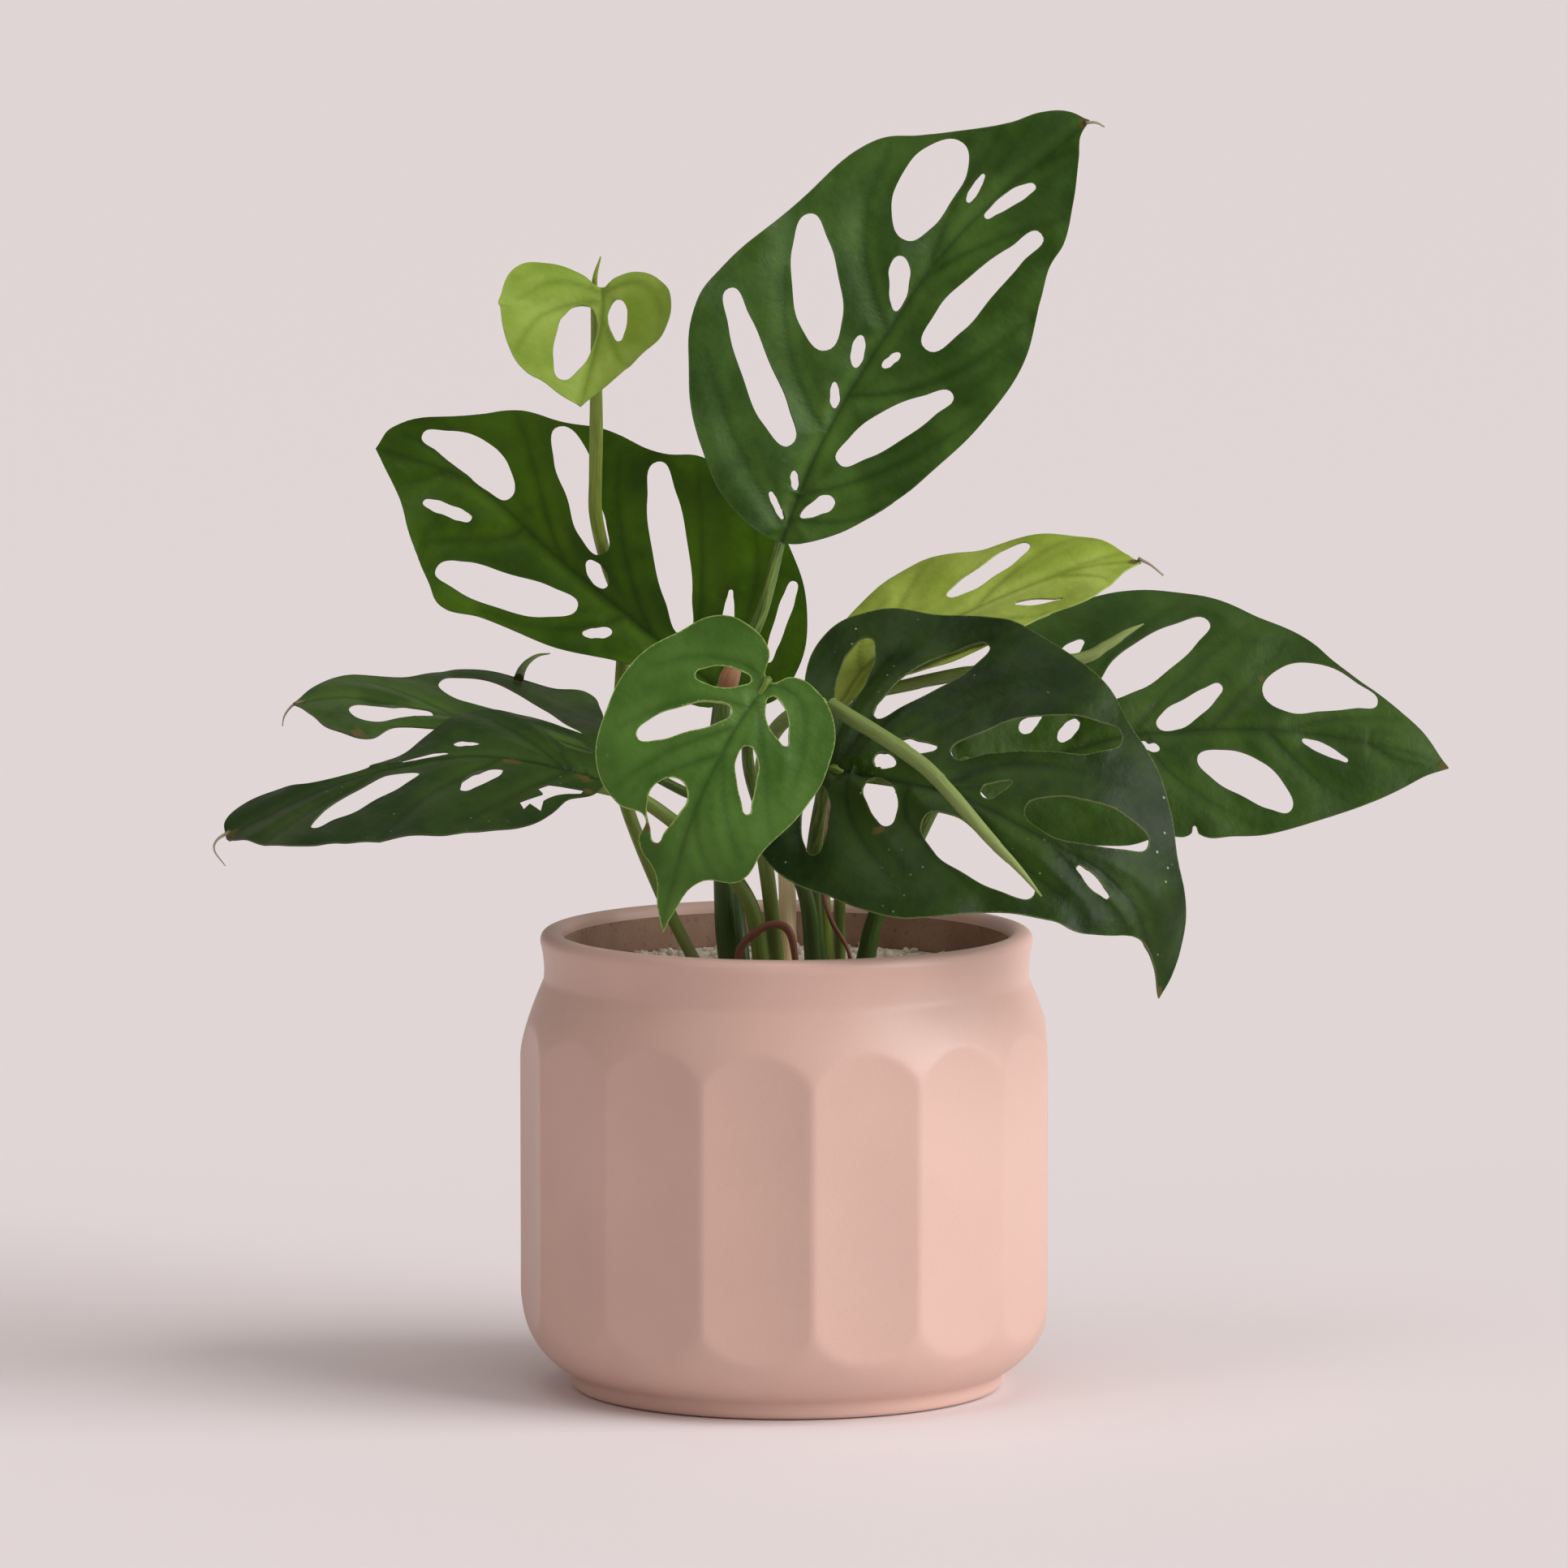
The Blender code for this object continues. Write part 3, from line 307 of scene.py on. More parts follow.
# ---------------------------------------------------------------- small helpers
def shade(red, green, blue):
    """A colour given as it is seen, 0 to 255, as the shader's linear values."""
    return tuple(((c / 255 + 0.055) / 1.055) ** 2.4 for c in (red, green, blue)) + (1.0,)


def deselect():
    """Nothing selected, so that an operator acts only on what is picked next."""
    bpy.ops.object.select_all(action="DESELECT")


def pick(obj):
    """Only this object selected and active."""
    deselect()
    obj.select_set(True)
    bpy.context.view_layer.objects.active = obj


def settle(obj):
    """Place, turn and scale go into the mesh."""
    pick(obj)
    bpy.ops.object.transform_apply(location=True, rotation=True, scale=True)


def apply_modifier(obj, modifier):
    """One modifier made permanent."""
    pick(obj)
    bpy.ops.object.modifier_apply(modifier=modifier.name)


def finished(obj, name, slot, *nodes):
    """A finished piece: named, riding on the pot's body, standing for its CAD nodes."""
    obj.name = obj.data.name = name
    if nodes:
        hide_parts(*nodes)
    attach(obj, BODY)
    return obj


def plant(point):
    """A point of the plant's own frame, in metres, in the pot's frame."""
    return Vector((point[0] * MM, point[1] * MM, point[2] * MM + MEDIUM_TOP))


def off_plant(point):
    """The same the other way round: millimetres in the plant's own frame."""
    return tuple((point - Vector((0, 0, MEDIUM_TOP))) / MM)


def join(obj, *parts):
    """Further parts made one object with the first."""
    deselect()
    for part in parts:
        part.select_set(True)
    obj.select_set(True)
    bpy.context.view_layer.objects.active = obj
    bpy.ops.object.join()


def bend(start, control, end, steps):
    """Points of a quadratic arc from start to end, the end left out."""
    points = []
    for i in range(steps):
        t = i / steps
        points.append(tuple((1 - t) ** 2 * a + 2 * t * (1 - t) * b + t * t * c
                            for a, b, c in zip(start, control, end)))
    return points


def smooth_path(points, steps=8):
    """Catmull-Rom curve through the points."""
    ends = [2 * points[0] - points[1]] + list(points) + [2 * points[-1] - points[-2]]
    path = []
    for before, start, end, after in zip(ends, ends[1:], ends[2:], ends[3:]):
        for i in range(steps):
            t = i / steps
            path.append(0.5 * (2 * start + (end - before) * t
                               + (2 * before - 5 * start + 4 * end - after) * t ** 2
                               + (3 * start - before - 3 * end + after) * t ** 3))
    path.append(points[-1])
    return path


def store(mesh, name, kind, values):
    """One value for each vertex, for the materials to read."""
    attribute = mesh.attributes.new(name, kind, "POINT")
    field = "vector" if kind == "FLOAT_VECTOR" else "value"
    attribute.data.foreach_set(field, values)


# ---------------------------------------------------------------- shader groups
DRY_BROWN = shade(86, 72, 36)
DUST = shade(165, 178, 150)


def new_group(name, inputs, outputs):
    """A node group with named float or colour inputs and outputs; returns it with its two ends."""
    group = bpy.data.node_groups.new(name, "ShaderNodeTree")
    for title, kind, value in inputs:
        socket = group.interface.new_socket(name=title, in_out="INPUT", socket_type="NodeSocket" + kind)
        if value is not None:
            socket.default_value = value
    for title, kind in outputs:
        group.interface.new_socket(name=title, in_out="OUTPUT", socket_type="NodeSocket" + kind)
    return group, group.nodes.new("NodeGroupInput"), group.nodes.new("NodeGroupOutput")


class Wiring:
    """Short ways to add nodes to a tree."""

    def __init__(self, tree):
        self.tree = tree

    def put(self, kind, **inputs):
        """A node with its inputs set or linked by name."""
        node = self.tree.nodes.new(kind)
        for title, value in inputs.items():
            self.set(node, title.replace("_", " "), value)
        return node

    def set(self, node, title, value):
        """One input of a node, by its name or its place: a value or another node's socket."""
        socket = node.inputs[title]
        if isinstance(value, bpy.types.NodeSocket):
            self.tree.links.new(value, socket)
        else:
            socket.default_value = value

    def noise(self, vector, scale, detail=3.0, roughness=0.5):
        """Smooth noise, about 0.3 to 0.7."""
        node = self.put("ShaderNodeTexNoise", Vector=vector, Scale=scale, Detail=detail,
                        Roughness=roughness)
        return node.outputs["Fac"]

    def ramp(self, value, low, high, out_low=0.0, out_high=1.0):
        """Smooth step of a value from low to high."""
        node = self.tree.nodes.new("ShaderNodeMapRange")
        node.interpolation_type = "SMOOTHSTEP"
        for title, item in (("Value", value), ("From Min", low), ("From Max", high),
                            ("To Min", out_low), ("To Max", out_high)):
            self.set(node, title, item)
        return node.outputs["Result"]

    def math(self, operation, first, second=0.0):
        """One sum of two values."""
        node = self.tree.nodes.new("ShaderNodeMath")
        node.operation = operation
        self.set(node, 0, first)
        self.set(node, 1, second)
        return node.outputs["Value"]

    def mix(self, factor, first, second, blend="MIX"):
        """Two colours mixed."""
        node = self.tree.nodes.new("ShaderNodeMix")
        node.data_type = "RGBA"
        node.blend_type = blend
        for index, value in ((0, factor), (6, first), (7, second)):
            self.set(node, index, value)
        return node.outputs[2]

    def attribute(self, name, output="Fac"):
        """A value stored on the mesh."""
        node = self.tree.nodes.new("ShaderNodeAttribute")
        node.attribute_name = name
        return node.outputs[output]


def leaf_skin_group():
    """Green blade: painted light in lighter bands beside the veins, painted shade in dark creases along
    them (a pale vein line on the underside), pale edges, dry marks and dust.
    """
    group, ins, outs = new_group(
        "leaf_skin",
        [("Place", "Vector", None), ("Crease", "Float", 0.0), ("Band", "Float", 0.0),
         ("Edge", "Float", 0.0), ("Dry", "Float", 0.0), ("Blade", "Color", None),
         ("Bright", "Color", None), ("Vein", "Color", None), ("Rim", "Color", None),
         ("Mottle", "Float", 1.0), ("Specks", "Float", 0.0)],
        [("Color", "Color"), ("Roughness", "Float"), ("Height", "Float")])
    w = Wiring(group)
    given = ins.outputs
    place = given["Place"]
    patches = w.ramp(w.noise(place, 55.0, 4.0, 0.55), 0.36, 0.66)
    fine = w.ramp(w.noise(place, 420.0, 3.0, 0.6), 0.3, 0.7)
    light = w.math("ADD", patches, w.math("MULTIPLY", fine, 0.15))
    light = w.math("MULTIPLY", light, given["Mottle"])
    light = w.math("MULTIPLY", light, 0.55)
    # Painted light: the band mask lightens the blade on the slopes to both sides of each vein.
    light = w.math("ADD", light, w.math("MULTIPLY", given["Band"], 0.35))
    colour = w.mix(light, given["Blade"], given["Bright"])
    # Painted shade: along the vein creases the skin turns to the vein colour, darker than the blade on the
    # upper side.
    colour = w.mix(given["Crease"], colour, given["Vein"])
    colour = w.mix(w.ramp(given["Edge"], 0.45, 1.0, 0.0, 0.8), colour, given["Rim"])
    ragged = w.math("MULTIPLY", w.math("SUBTRACT", fine, 0.5), 0.5)
    ragged = w.math("ADD", given["Dry"], ragged)
    colour = w.mix(w.ramp(ragged, 0.35, 0.85, 0.0, 0.85), colour, DRY_BROWN)
    dots = w.put("ShaderNodeTexVoronoi", Vector=place, Scale=330.0)
    crowd = w.ramp(w.noise(place, 42.0, 2.0), 0.50, 0.62)
    speck = w.ramp(dots.outputs["Distance"], 0.13, 0.05)
    speck = w.math("MULTIPLY", w.math("MULTIPLY", speck, crowd), given["Specks"])
    colour = w.mix(speck, colour, DUST)
    group.links.new(colour, outs.inputs["Color"])
    rough = w.ramp(w.noise(place, 150.0, 3.0), 0.3, 0.7, 0.36, 0.50)
    rough = w.math("ADD", rough, w.math("MULTIPLY", speck, 0.3))
    group.links.new(rough, outs.inputs["Roughness"])
    cells = w.put("ShaderNodeTexVoronoi", Vector=place, Scale=520.0)
    height = w.math("MULTIPLY", cells.outputs["Distance"], 0.35)
    height = w.math("ADD", height, w.math("MULTIPLY", fine, 0.5))
    height = w.math("SUBTRACT", height, w.math("MULTIPLY", given["Crease"], 1.6))
    group.links.new(height, outs.inputs["Height"])
    return group


def stem_skin_group():
    """Stem: two greens along its length, long streaks, a brown foot and fine bumps."""
    group, ins, outs = new_group(
        "stem_skin",
        [("Place", "Vector", None), ("Along", "Float", 0.0), ("Low", "Color", None),
         ("High", "Color", None), ("Foot", "Color", None), ("Foot Length", "Float", 0.08),
         ("Streaks", "Float", 0.5)],
        [("Color", "Color"), ("Roughness", "Float"), ("Height", "Float")])
    w = Wiring(group)
    given = ins.outputs
    streaks = w.noise(given["Place"], 3.2, 4.0, 0.6)
    rings = w.noise(given["Place"], 11.0, 2.0, 0.6)
    blend = w.math("MULTIPLY", w.math("SUBTRACT", streaks, 0.5), 0.8)
    blend = w.math("ADD", given["Along"], blend)
    colour = w.mix(w.ramp(blend, 0.0, 1.0), given["Low"], given["High"])
    dark = w.math("MULTIPLY", w.ramp(streaks, 0.62, 0.36), given["Streaks"])
    colour = w.mix(dark, colour, given["Low"])
    foot = w.math("SUBTRACT", 1.0, w.ramp(given["Along"], 0.0, given["Foot Length"]))
    colour = w.mix(foot, colour, given["Foot"])
    group.links.new(colour, outs.inputs["Color"])
    group.links.new(w.ramp(rings, 0.3, 0.7, 0.38, 0.55), outs.inputs["Roughness"])
    group.links.new(w.math("ADD", streaks, w.math("MULTIPLY", rings, 0.3)), outs.inputs["Height"])
    return group


def speckled_group():
    """Fired clay, grit and leaf rims: a body colour clouded by a second one, with fine grain."""
    group, ins, outs = new_group(
        "speckled",
        [("Place", "Vector", None), ("Body", "Color", None), ("Cloud", "Color", None),
         ("Dirt", "Color", None), ("Cloud Scale", "Float", 20.0), ("Grain Scale", "Float", 900.0),
         ("Cloud Share", "Float", 0.5), ("Dirt Share", "Float", 0.0), ("Dull", "Float", 0.5),
         ("Dull Range", "Float", 0.08)],
        [("Color", "Color"), ("Roughness", "Float"), ("Height", "Float")])
    w = Wiring(group)
    given = ins.outputs
    clouds = w.noise(given["Place"], given["Cloud Scale"], 4.0, 0.55)
    grain = w.noise(given["Place"], given["Grain Scale"], 3.0, 0.6)
    share = w.math("MULTIPLY", w.ramp(clouds, 0.34, 0.66), given["Cloud Share"])
    colour = w.mix(share, given["Body"], given["Cloud"])
    spots = w.math("MULTIPLY", w.ramp(grain, 0.56, 0.72), given["Dirt Share"])
    colour = w.mix(spots, colour, given["Dirt"])
    group.links.new(colour, outs.inputs["Color"])
    sway = w.math("MULTIPLY", w.math("SUBTRACT", clouds, 0.5), given["Dull Range"])
    dull = w.math("ADD", given["Dull"], w.math("MULTIPLY", sway, 2.0))
    group.links.new(dull, outs.inputs["Roughness"])
    group.links.new(grain, outs.inputs["Height"])
    return group


LEAF_SKIN = leaf_skin_group()
STEM_SKIN = stem_skin_group()
SPECKLED = speckled_group()


def surface(name, group, bump, settings, attributes=None, **shader_values):
    """A material: one skin group with its values, a bump and the Principled shader."""
    mat = bpy.data.materials.new(name)
    mat.use_nodes = True
    tree = mat.node_tree
    shader = tree.nodes["Principled BSDF"]
    w = Wiring(tree)
    skin = tree.nodes.new("ShaderNodeGroup")
    skin.node_tree = group
    for title, value in settings.items():
        w.set(skin, title, value)
    if attributes:
        for title, (attribute, output) in attributes.items():
            w.set(skin, title, w.attribute(attribute, output))
    else:
        w.set(skin, "Place", tree.nodes.new("ShaderNodeTexCoord").outputs["Object"])
    tree.links.new(skin.outputs["Color"], shader.inputs["Base Color"])
    tree.links.new(skin.outputs["Roughness"], shader.inputs["Roughness"])
    strength, distance = bump
    relief = w.put("ShaderNodeBump", Height=skin.outputs["Height"], Strength=strength, Distance=distance)
    tree.links.new(relief.outputs["Normal"], shader.inputs["Normal"])
    for title, value in shader_values.items():
        shader.inputs[title.replace("_", " ")].default_value = value
    return mat


def blade_materials(name, tones):
    """Upper side, underside and cut edge of one leaf."""
    blade, bright, rim = tones.blade, tones.bright, tones.rim
    pale = [c * 0.80 + 34 for c in bright]
    attributes = {"Place": ("blade_place", "Vector"), "Crease": ("crease", "Fac"),
                  "Band": ("band", "Fac"), "Edge": ("edge", "Fac"), "Dry": ("dry", "Fac")}
    # On the upper side the vein colour is the blade's green darkened: painted shade in the vein creases.
    upper = surface(name + "_upper", LEAF_SKIN, (0.35, 0.0003),
                    {"Blade": shade(*blade), "Bright": shade(*bright), "Rim": shade(*rim),
                     "Vein": shade(*[c * 0.72 for c in blade]), "Specks": tones.specks},
                    attributes, Specular_IOR_Level=SHEEN)
    under = surface(name + "_under", LEAF_SKIN, (0.3, 0.0003),
                    {"Blade": shade(*[c * 0.85 for c in pale]), "Bright": shade(*pale),
                     "Vein": shade(*[min(255, c * 1.1 + 14) for c in pale]), "Rim": shade(*rim),
                     "Mottle": 0.6},
                    attributes, Specular_IOR_Level=0.3)
    edge = surface(name + "_rim", SPECKLED, (0.1, 0.0002),
                   {"Body": shade(*rim), "Cloud": shade(*bright), "Dirt": shade(*blade),
                    "Cloud Scale": 260.0, "Dull": 0.55})
    return upper, under, edge


# ---------------------------------------------------------------- leaves
class Blade:
    """The curved surface of a leaf: across and along in, a place in space out."""

    def __init__(self, leaf):
        self.path = smooth_path([plant(p) for p in leaf.midrib])
        self.across = Vector(leaf.across)
        self.fold = radians(leaf.fold)
        self.marks = [0.0]
        for start, end in zip(self.path, self.path[1:]):
            self.marks.append(self.marks[-1] + (end - start).length)

    def frame(self, along):
        """Midrib point, direction to the right and direction of the upper face."""
        inside = min(max(along, 0.0), self.marks[-1] - 1e-6)
        i = max(k for k in range(len(self.marks) - 1) if self.marks[k] <= inside)
        step = self.path[i + 1] - self.path[i]
        share = (inside - self.marks[i]) / step.length
        before = self.path[max(i - 1, 0)]
        after = self.path[min(i + 2, len(self.path) - 1)]
        ahead = (self.path[i + 1] - before).lerp(after - self.path[i], share).normalized()
        point = self.path[i] + step * share + ahead * (along - inside)
        right = (self.across - ahead * self.across.dot(ahead)).normalized()
        return point, right, right.cross(ahead)

    def place(self, across, along, lift=0.0):
        """The point at the given distances from the base of the midrib, and above the blade."""
        point, right, up = self.frame(along)
        crown = abs(across) if abs(across) > 0.002 else 0.001 + across * across / 0.004
        return point + right * across * cos(self.fold) + up * (crown * sin(self.fold) + lift)


def closed_spline(curve, points, resolution, corners=()):
    """A smooth closed outline in the curve's plane, pointed at its corners."""
    spline = curve.splines.new("BEZIER")
    spline.bezier_points.add(len(points) - 1)
    for bezier, (x, y) in zip(spline.bezier_points, points):
        bezier.co = (x * MM, y * MM, 0)
        bezier.handle_left_type = bezier.handle_right_type = "VECTOR" if (x, y) in corners else "AUTO"
    spline.use_cyclic_u = True
    spline.resolution_u = resolution


def hole_outline(hole):
    """Eight points round a hole, from its ends, its three widths and its bow."""
    x0, y0, x1, y1, near, middle, far, bow = hole
    start = Vector((x0, y0))
    span = Vector((x1, y1)) - start
    side = Vector((-span.y, span.x)).normalized()
    stations = [(0.2, near, 0.64 * bow), (0.5, middle, bow), (0.8, far, 0.64 * bow)]
    left = [start + span * f + side * (shift + width / 2) for f, width, shift in stations]
    right = [start + span * f + side * (shift - width / 2) for f, width, shift in stations]
    return [start] + right + [start + span] + left[::-1]


def outline_prism(leaf, tear):
    """The leaf's outline with its holes, as a closed prism."""
    bpy.ops.object.add(type="CURVE")
    prism = bpy.context.object
    prism.data.dimensions = "2D"
    prism.data.fill_mode = "BOTH"
    prism.data.extrude = 0.004
    closed_spline(prism.data, leaf.margin, 10, corners=[max(leaf.margin, key=lambda point: point[1])])
    for hole in leaf.holes:
        closed_spline(prism.data, hole_outline(hole), 8)
    if tear:
        closed_spline(prism.data, tear, 2, corners=tear)
    pick(prism)
    bpy.ops.object.convert(target="MESH")
    bpy.ops.object.mode_set(mode="EDIT")
    bpy.ops.mesh.select_all(action="SELECT")
    bpy.ops.mesh.remove_doubles(threshold=1e-6)
    bpy.ops.mesh.normals_make_consistent(inside=False)
    bpy.ops.object.mode_set(mode="OBJECT")
    return bpy.context.object


def cut_sheet(leaf, tear):
    """A fine flat grid, cut to the leaf's outline."""
    low = min(y for _, y in leaf.margin) * MM - 0.004
    high = max(y for _, y in leaf.margin) * MM + 0.004
    half = max(abs(x) for x, _ in leaf.margin) * MM + 0.004
    columns = 2 * round(half / SHEET_CELL)
    rows = round((high - low) / SHEET_CELL)
    deselect()
    bpy.ops.mesh.primitive_grid_add(x_subdivisions=columns, y_subdivisions=rows, size=1,
                                    location=(0, (low + high) / 2, 0))
    sheet = bpy.context.object
    sheet.scale = (2 * half, high - low, 1)
    settle(sheet)
    thick = sheet.modifiers.new("sheet", "SOLIDIFY")
    thick.thickness = 0.002
    thick.offset = 0
    apply_modifier(sheet, thick)
    prism = outline_prism(leaf, tear)
    cut = sheet.modifiers.new("cut", "BOOLEAN")
    cut.operation = "INTERSECT"
    cut.solver = "MANIFOLD"
    cut.object = prism
    apply_modifier(sheet, cut)
    bpy.data.objects.remove(prism)
    for face in sheet.data.polygons:
        face.select = face.normal.z < 0.9
    bpy.context.tool_settings.mesh_select_mode = (False, False, True)
    pick(sheet)
    bpy.ops.object.mode_set(mode="EDIT")
    bpy.ops.mesh.delete(type="FACE")
    bpy.ops.mesh.select_all(action="SELECT")
    bpy.ops.mesh.remove_doubles(threshold=2e-5)
    bpy.ops.object.mode_set(mode="OBJECT")
    return sheet


def vein_points(leaf, length):
    """Points along the midrib and the veins, with their strength there: (x, y, strength) in metres."""
    points = [(0.0, length * i / 400, 1.25 - 0.75 * i / 400) for i in range(401)]
    for start, xm, ym, xe, ye in leaf.veins:
        control = (2 * xm - xe / 2, 2 * ym - (start + ye) / 2)
        arc = bend((0, start), control, (xe, ye), 90)
        points += [(x * MM, y * MM, 0.85 - 0.55 * i / 90) for i, (x, y) in enumerate(arc)]
    return points


def flat_tree(points):
    """A search tree over points of the flat sheet."""
    tree = KDTree(len(points))
    for i, (x, y) in enumerate(points):
        tree.insert((x, y, 0), i)
    tree.balance()
    return tree


def border_points(mesh):
    """The points on the sheet's edges: round its outline and round its holes."""
    uses = {}
    for face in mesh.polygons:
        for key in face.edge_keys:
            uses[key] = uses.get(key, 0) + 1
    border = sorted({i for key, count in uses.items() if count == 1 for i in key})
    return [mesh.vertices[i].co.xy for i in border]


def shape_blade(name, mesh, blade, seed):
    """Bend the flat sheet to its place, with veins, waves and curled edges, and note them for the skin."""
    leaf = LEAVES[name]
    veins = vein_points(leaf, blade.marks[-1])
    vein_tree = flat_tree([(x, y) for x, y, _ in veins])
    edge_tree = flat_tree(border_points(mesh))
    marks = DRY_MARKS.get(name, [])
    relief = RELIEF.get(name, 1.0)
    flat, creases, lit_bands, edges, ribs, dries = [], [], [], [], [], []
    for vert in mesh.vertices:
        x, y = vert.co.x, vert.co.y
        _, nearest, gap = vein_tree.find((x, y, 0))
        strength = veins[nearest][2]
        margin_gap = edge_tree.find((x, y, 0))[2]
        valley = strength * exp(-(gap / QUILT_WIDTH) ** 2)
        crease = strength * exp(-(gap / CREASE_WIDTH) ** 2)
        wave = noise.noise(Vector((x * 45, y * 45, seed * 7.3)))
        flutter = noise.noise(Vector((x * 120, y * 120, seed * 3.1)))
        curl = exp(-(margin_gap / EDGE_REACH) ** 2)
        calm = 1 - 0.8 * exp(-(x / 0.005) ** 2)
        lift = relief * (RIPPLE * wave * calm - QUILT_DEPTH * valley)
        lift += curl * (0.0006 * flutter - 0.0003)
        flat += [x, y, seed * 0.37]
        # The crease mask marks the line along the veins where the upper side gets painted shade.
        creases.append(min(1.0, crease * 0.6))
        # Painted light: a lighter band about 2 mm to each side of a vein.
        lit_bands.append(min(1.0, strength * exp(-((gap - 0.0022) / 0.0014) ** 2)))
        edges.append(exp(-(margin_gap / RIM_WIDTH) ** 2))
        ribs.append(strength * exp(-(gap / 0.0007) ** 2))
        dries.append(max([exp(-((x - mx * MM) ** 2 + (y - my * MM) ** 2) / (size * MM) ** 2)
                          for mx, my, size in marks], default=0.0))
        vert.co = blade.place(x, y, lift)
    store(mesh, "blade_place", "FLOAT_VECTOR", flat)
    for title, values in (("crease", creases), ("band", lit_bands), ("edge", edges), ("rib", ribs),
                          ("dry", dries)):
        store(mesh, title, "FLOAT", values)


def thicken(sheet, materials):
    """Give the blade its thickness, its three materials and the ribs below."""
    sheet.data.materials.clear()
    for mat in materials:
        sheet.data.materials.append(mat)
    shell = sheet.modifiers.new("thickness", "SOLIDIFY")
    shell.thickness = BLADE_THICKNESS
    shell.offset = 0.0
    shell.material_offset = 1
    shell.material_offset_rim = 2
    apply_modifier(sheet, shell)
    mesh = sheet.data
    under = {i for face in mesh.polygons if face.material_index == 1 for i in face.vertices}
    normals = {i: mesh.vertices[i].normal.copy() for i in under}
    rib = mesh.attributes["rib"].data
    for i in under:
        mesh.vertices[i].co += normals[i] * rib[i].value * RIB_HEIGHT


def leaf_piece(name, tones, seed):
    """One living leaf, with its dry tip and its curled strip if it has them."""
    sheet = cut_sheet(LEAVES[name], TEARS.get(name))
    blade = Blade(LEAVES[name])
    shape_blade(name, sheet.data, blade, seed)
    thicken(sheet, blade_materials(name, tones))
    pick(sheet)
    bpy.ops.object.shade_smooth_by_angle(angle=radians(50))
    if name in DRY_TIPS:
        route = DRY_TIPS[name]
        join(sheet, tube(route, DRY_TIP_RADII[:len(route)], DRY_TIP, rooted=False))
    if name == CURLED_STRIP.leaf:
        route = [off_plant(blade.place(x * MM, y * MM, z * MM)) for x, y, z in CURLED_STRIP.route]
        join(sheet, tube(route, CURLED_STRIP.radii, DARK_STALK, rooted=False))
    return finished(sheet, name + "_blade", tones.slot, name)


# ---------------------------------------------------------------- stems
def tube(route, radii, mat, steps=8, sides=5, rooted=True, rough=0.03, twist=0.0):
    """A living stem along a route of the plant's frame; route and radii are in millimetres."""
    path = smooth_path([Vector(p) for p in route], steps)
    widths = [max(w.x, min(radii)) for w in smooth_path([Vector((r, 0, 0)) for r in radii], steps)]
    if rooted and route[0][2] == 0:
        path.insert(0, path[0] - Vector((0, 0, ROOTED)))
        widths.insert(0, widths[0])
    if rooted and route[-1][2] == 0:
        path.append(path[-1] - Vector((0, 0, ROOTED)))
        widths.append(widths[-1])
    deselect()
    bpy.ops.object.add(type="CURVE")
    obj = bpy.context.object
    curve = obj.data
    curve.dimensions = "3D"
    curve.bevel_depth = MM
    curve.bevel_resolution = sides
    curve.use_fill_caps = True
    spline = curve.splines.new("POLY")
    spline.points.add(len(path) - 1)
    places = [plant(p) for p in path]
    for point, place, width in zip(spline.points, places, widths):
        point.co = (*place, 1)
        point.radius = width
    pick(obj)
    bpy.ops.object.convert(target="MESH")
    obj = bpy.context.object
    bpy.ops.object.mode_set(mode="EDIT")
    bpy.ops.mesh.select_all(action="SELECT")
    bpy.ops.mesh.remove_doubles(threshold=1e-6)
    bpy.ops.object.mode_set(mode="OBJECT")

    lengths = [0.0]
    for start, end in zip(places, places[1:]):
        lengths.append(lengths[-1] + (end - start).length)
    tree = KDTree(len(places))
    for i, place in enumerate(places):
        tree.insert(place, i)
    tree.balance()
    around, along = [], []
    for vert in obj.data.vertices:
        _, i, _ = tree.find(vert.co)
        offset = vert.co - places[i]
        ahead = (places[min(i + 1, len(places) - 1)] - places[max(i - 1, 0)]).normalized()
        side = ahead.orthogonal().normalized()
        angle = atan2(offset.dot(ahead.cross(side)), offset.dot(side)) if offset.length > 1e-9 else 0.0
        bulge = noise.noise(Vector((cos(angle), sin(angle), lengths[i] * 160)))
        swell = 1 + rough * bulge
        if twist:
            swell += 0.10 * (((angle + twist * lengths[i]) / (2 * pi)) % 1.0) - 0.05
        vert.co = places[i] + offset * swell
        around += [cos(angle), sin(angle), lengths[i] * 40]
        along.append(lengths[i] / lengths[-1])
    store(obj.data, "stem_place", "FLOAT_VECTOR", around)
    store(obj.data, "along", "FLOAT", along)
    obj.data.materials.clear()
    obj.data.materials.append(mat)
    bpy.ops.object.shade_smooth_by_angle(angle=radians(60))
    return obj


def stem_surface(name, low, high, foot, foot_length=0.1, streaks=0.5):
    """The skin of one kind of stem."""
    return surface(name, STEM_SKIN, (0.35, 0.0004),
                   {"Low": shade(*low), "High": shade(*high), "Foot": shade(*foot),
                    "Foot Length": foot_length, "Streaks": streaks},
                   {"Place": ("stem_place", "Vector"), "Along": ("along", "Fac")},
                   Specular_IOR_Level=0.4)


def petiole(name, mat, slot):
    """A leaf stalk that runs on under its blade as the midrib."""
    stem = STEMS[name]
    blade = Blade(LEAVES[stem.leaf])
    route = list(stem.route)
    radii = [stem.radius + (stem.end_radius - stem.radius) * i / len(route) for i in range(len(route))]
    for along, share in ((0.0, 1.0), (0.005, 0.75), (0.013, 0.5), (0.024, 0.3)):
        radius = stem.end_radius * share
        valley = 1.25 * QUILT_DEPTH * RELIEF.get(stem.leaf, 1.0)
        point = blade.place(0, along, -valley - 0.0003 - radius * 0.8 * MM)
        route.append(off_plant(point))
        radii.append(radius)
    stalk = tube(route, radii, mat)
    if name in SHEATHS:
        sheath_route, sheath_radii = SHEATHS[name]
        join(stalk, tube(sheath_route, sheath_radii, SHEATH, rooted=False, rough=0.12))
    return finished(stalk, name + "_stalk", slot, name)


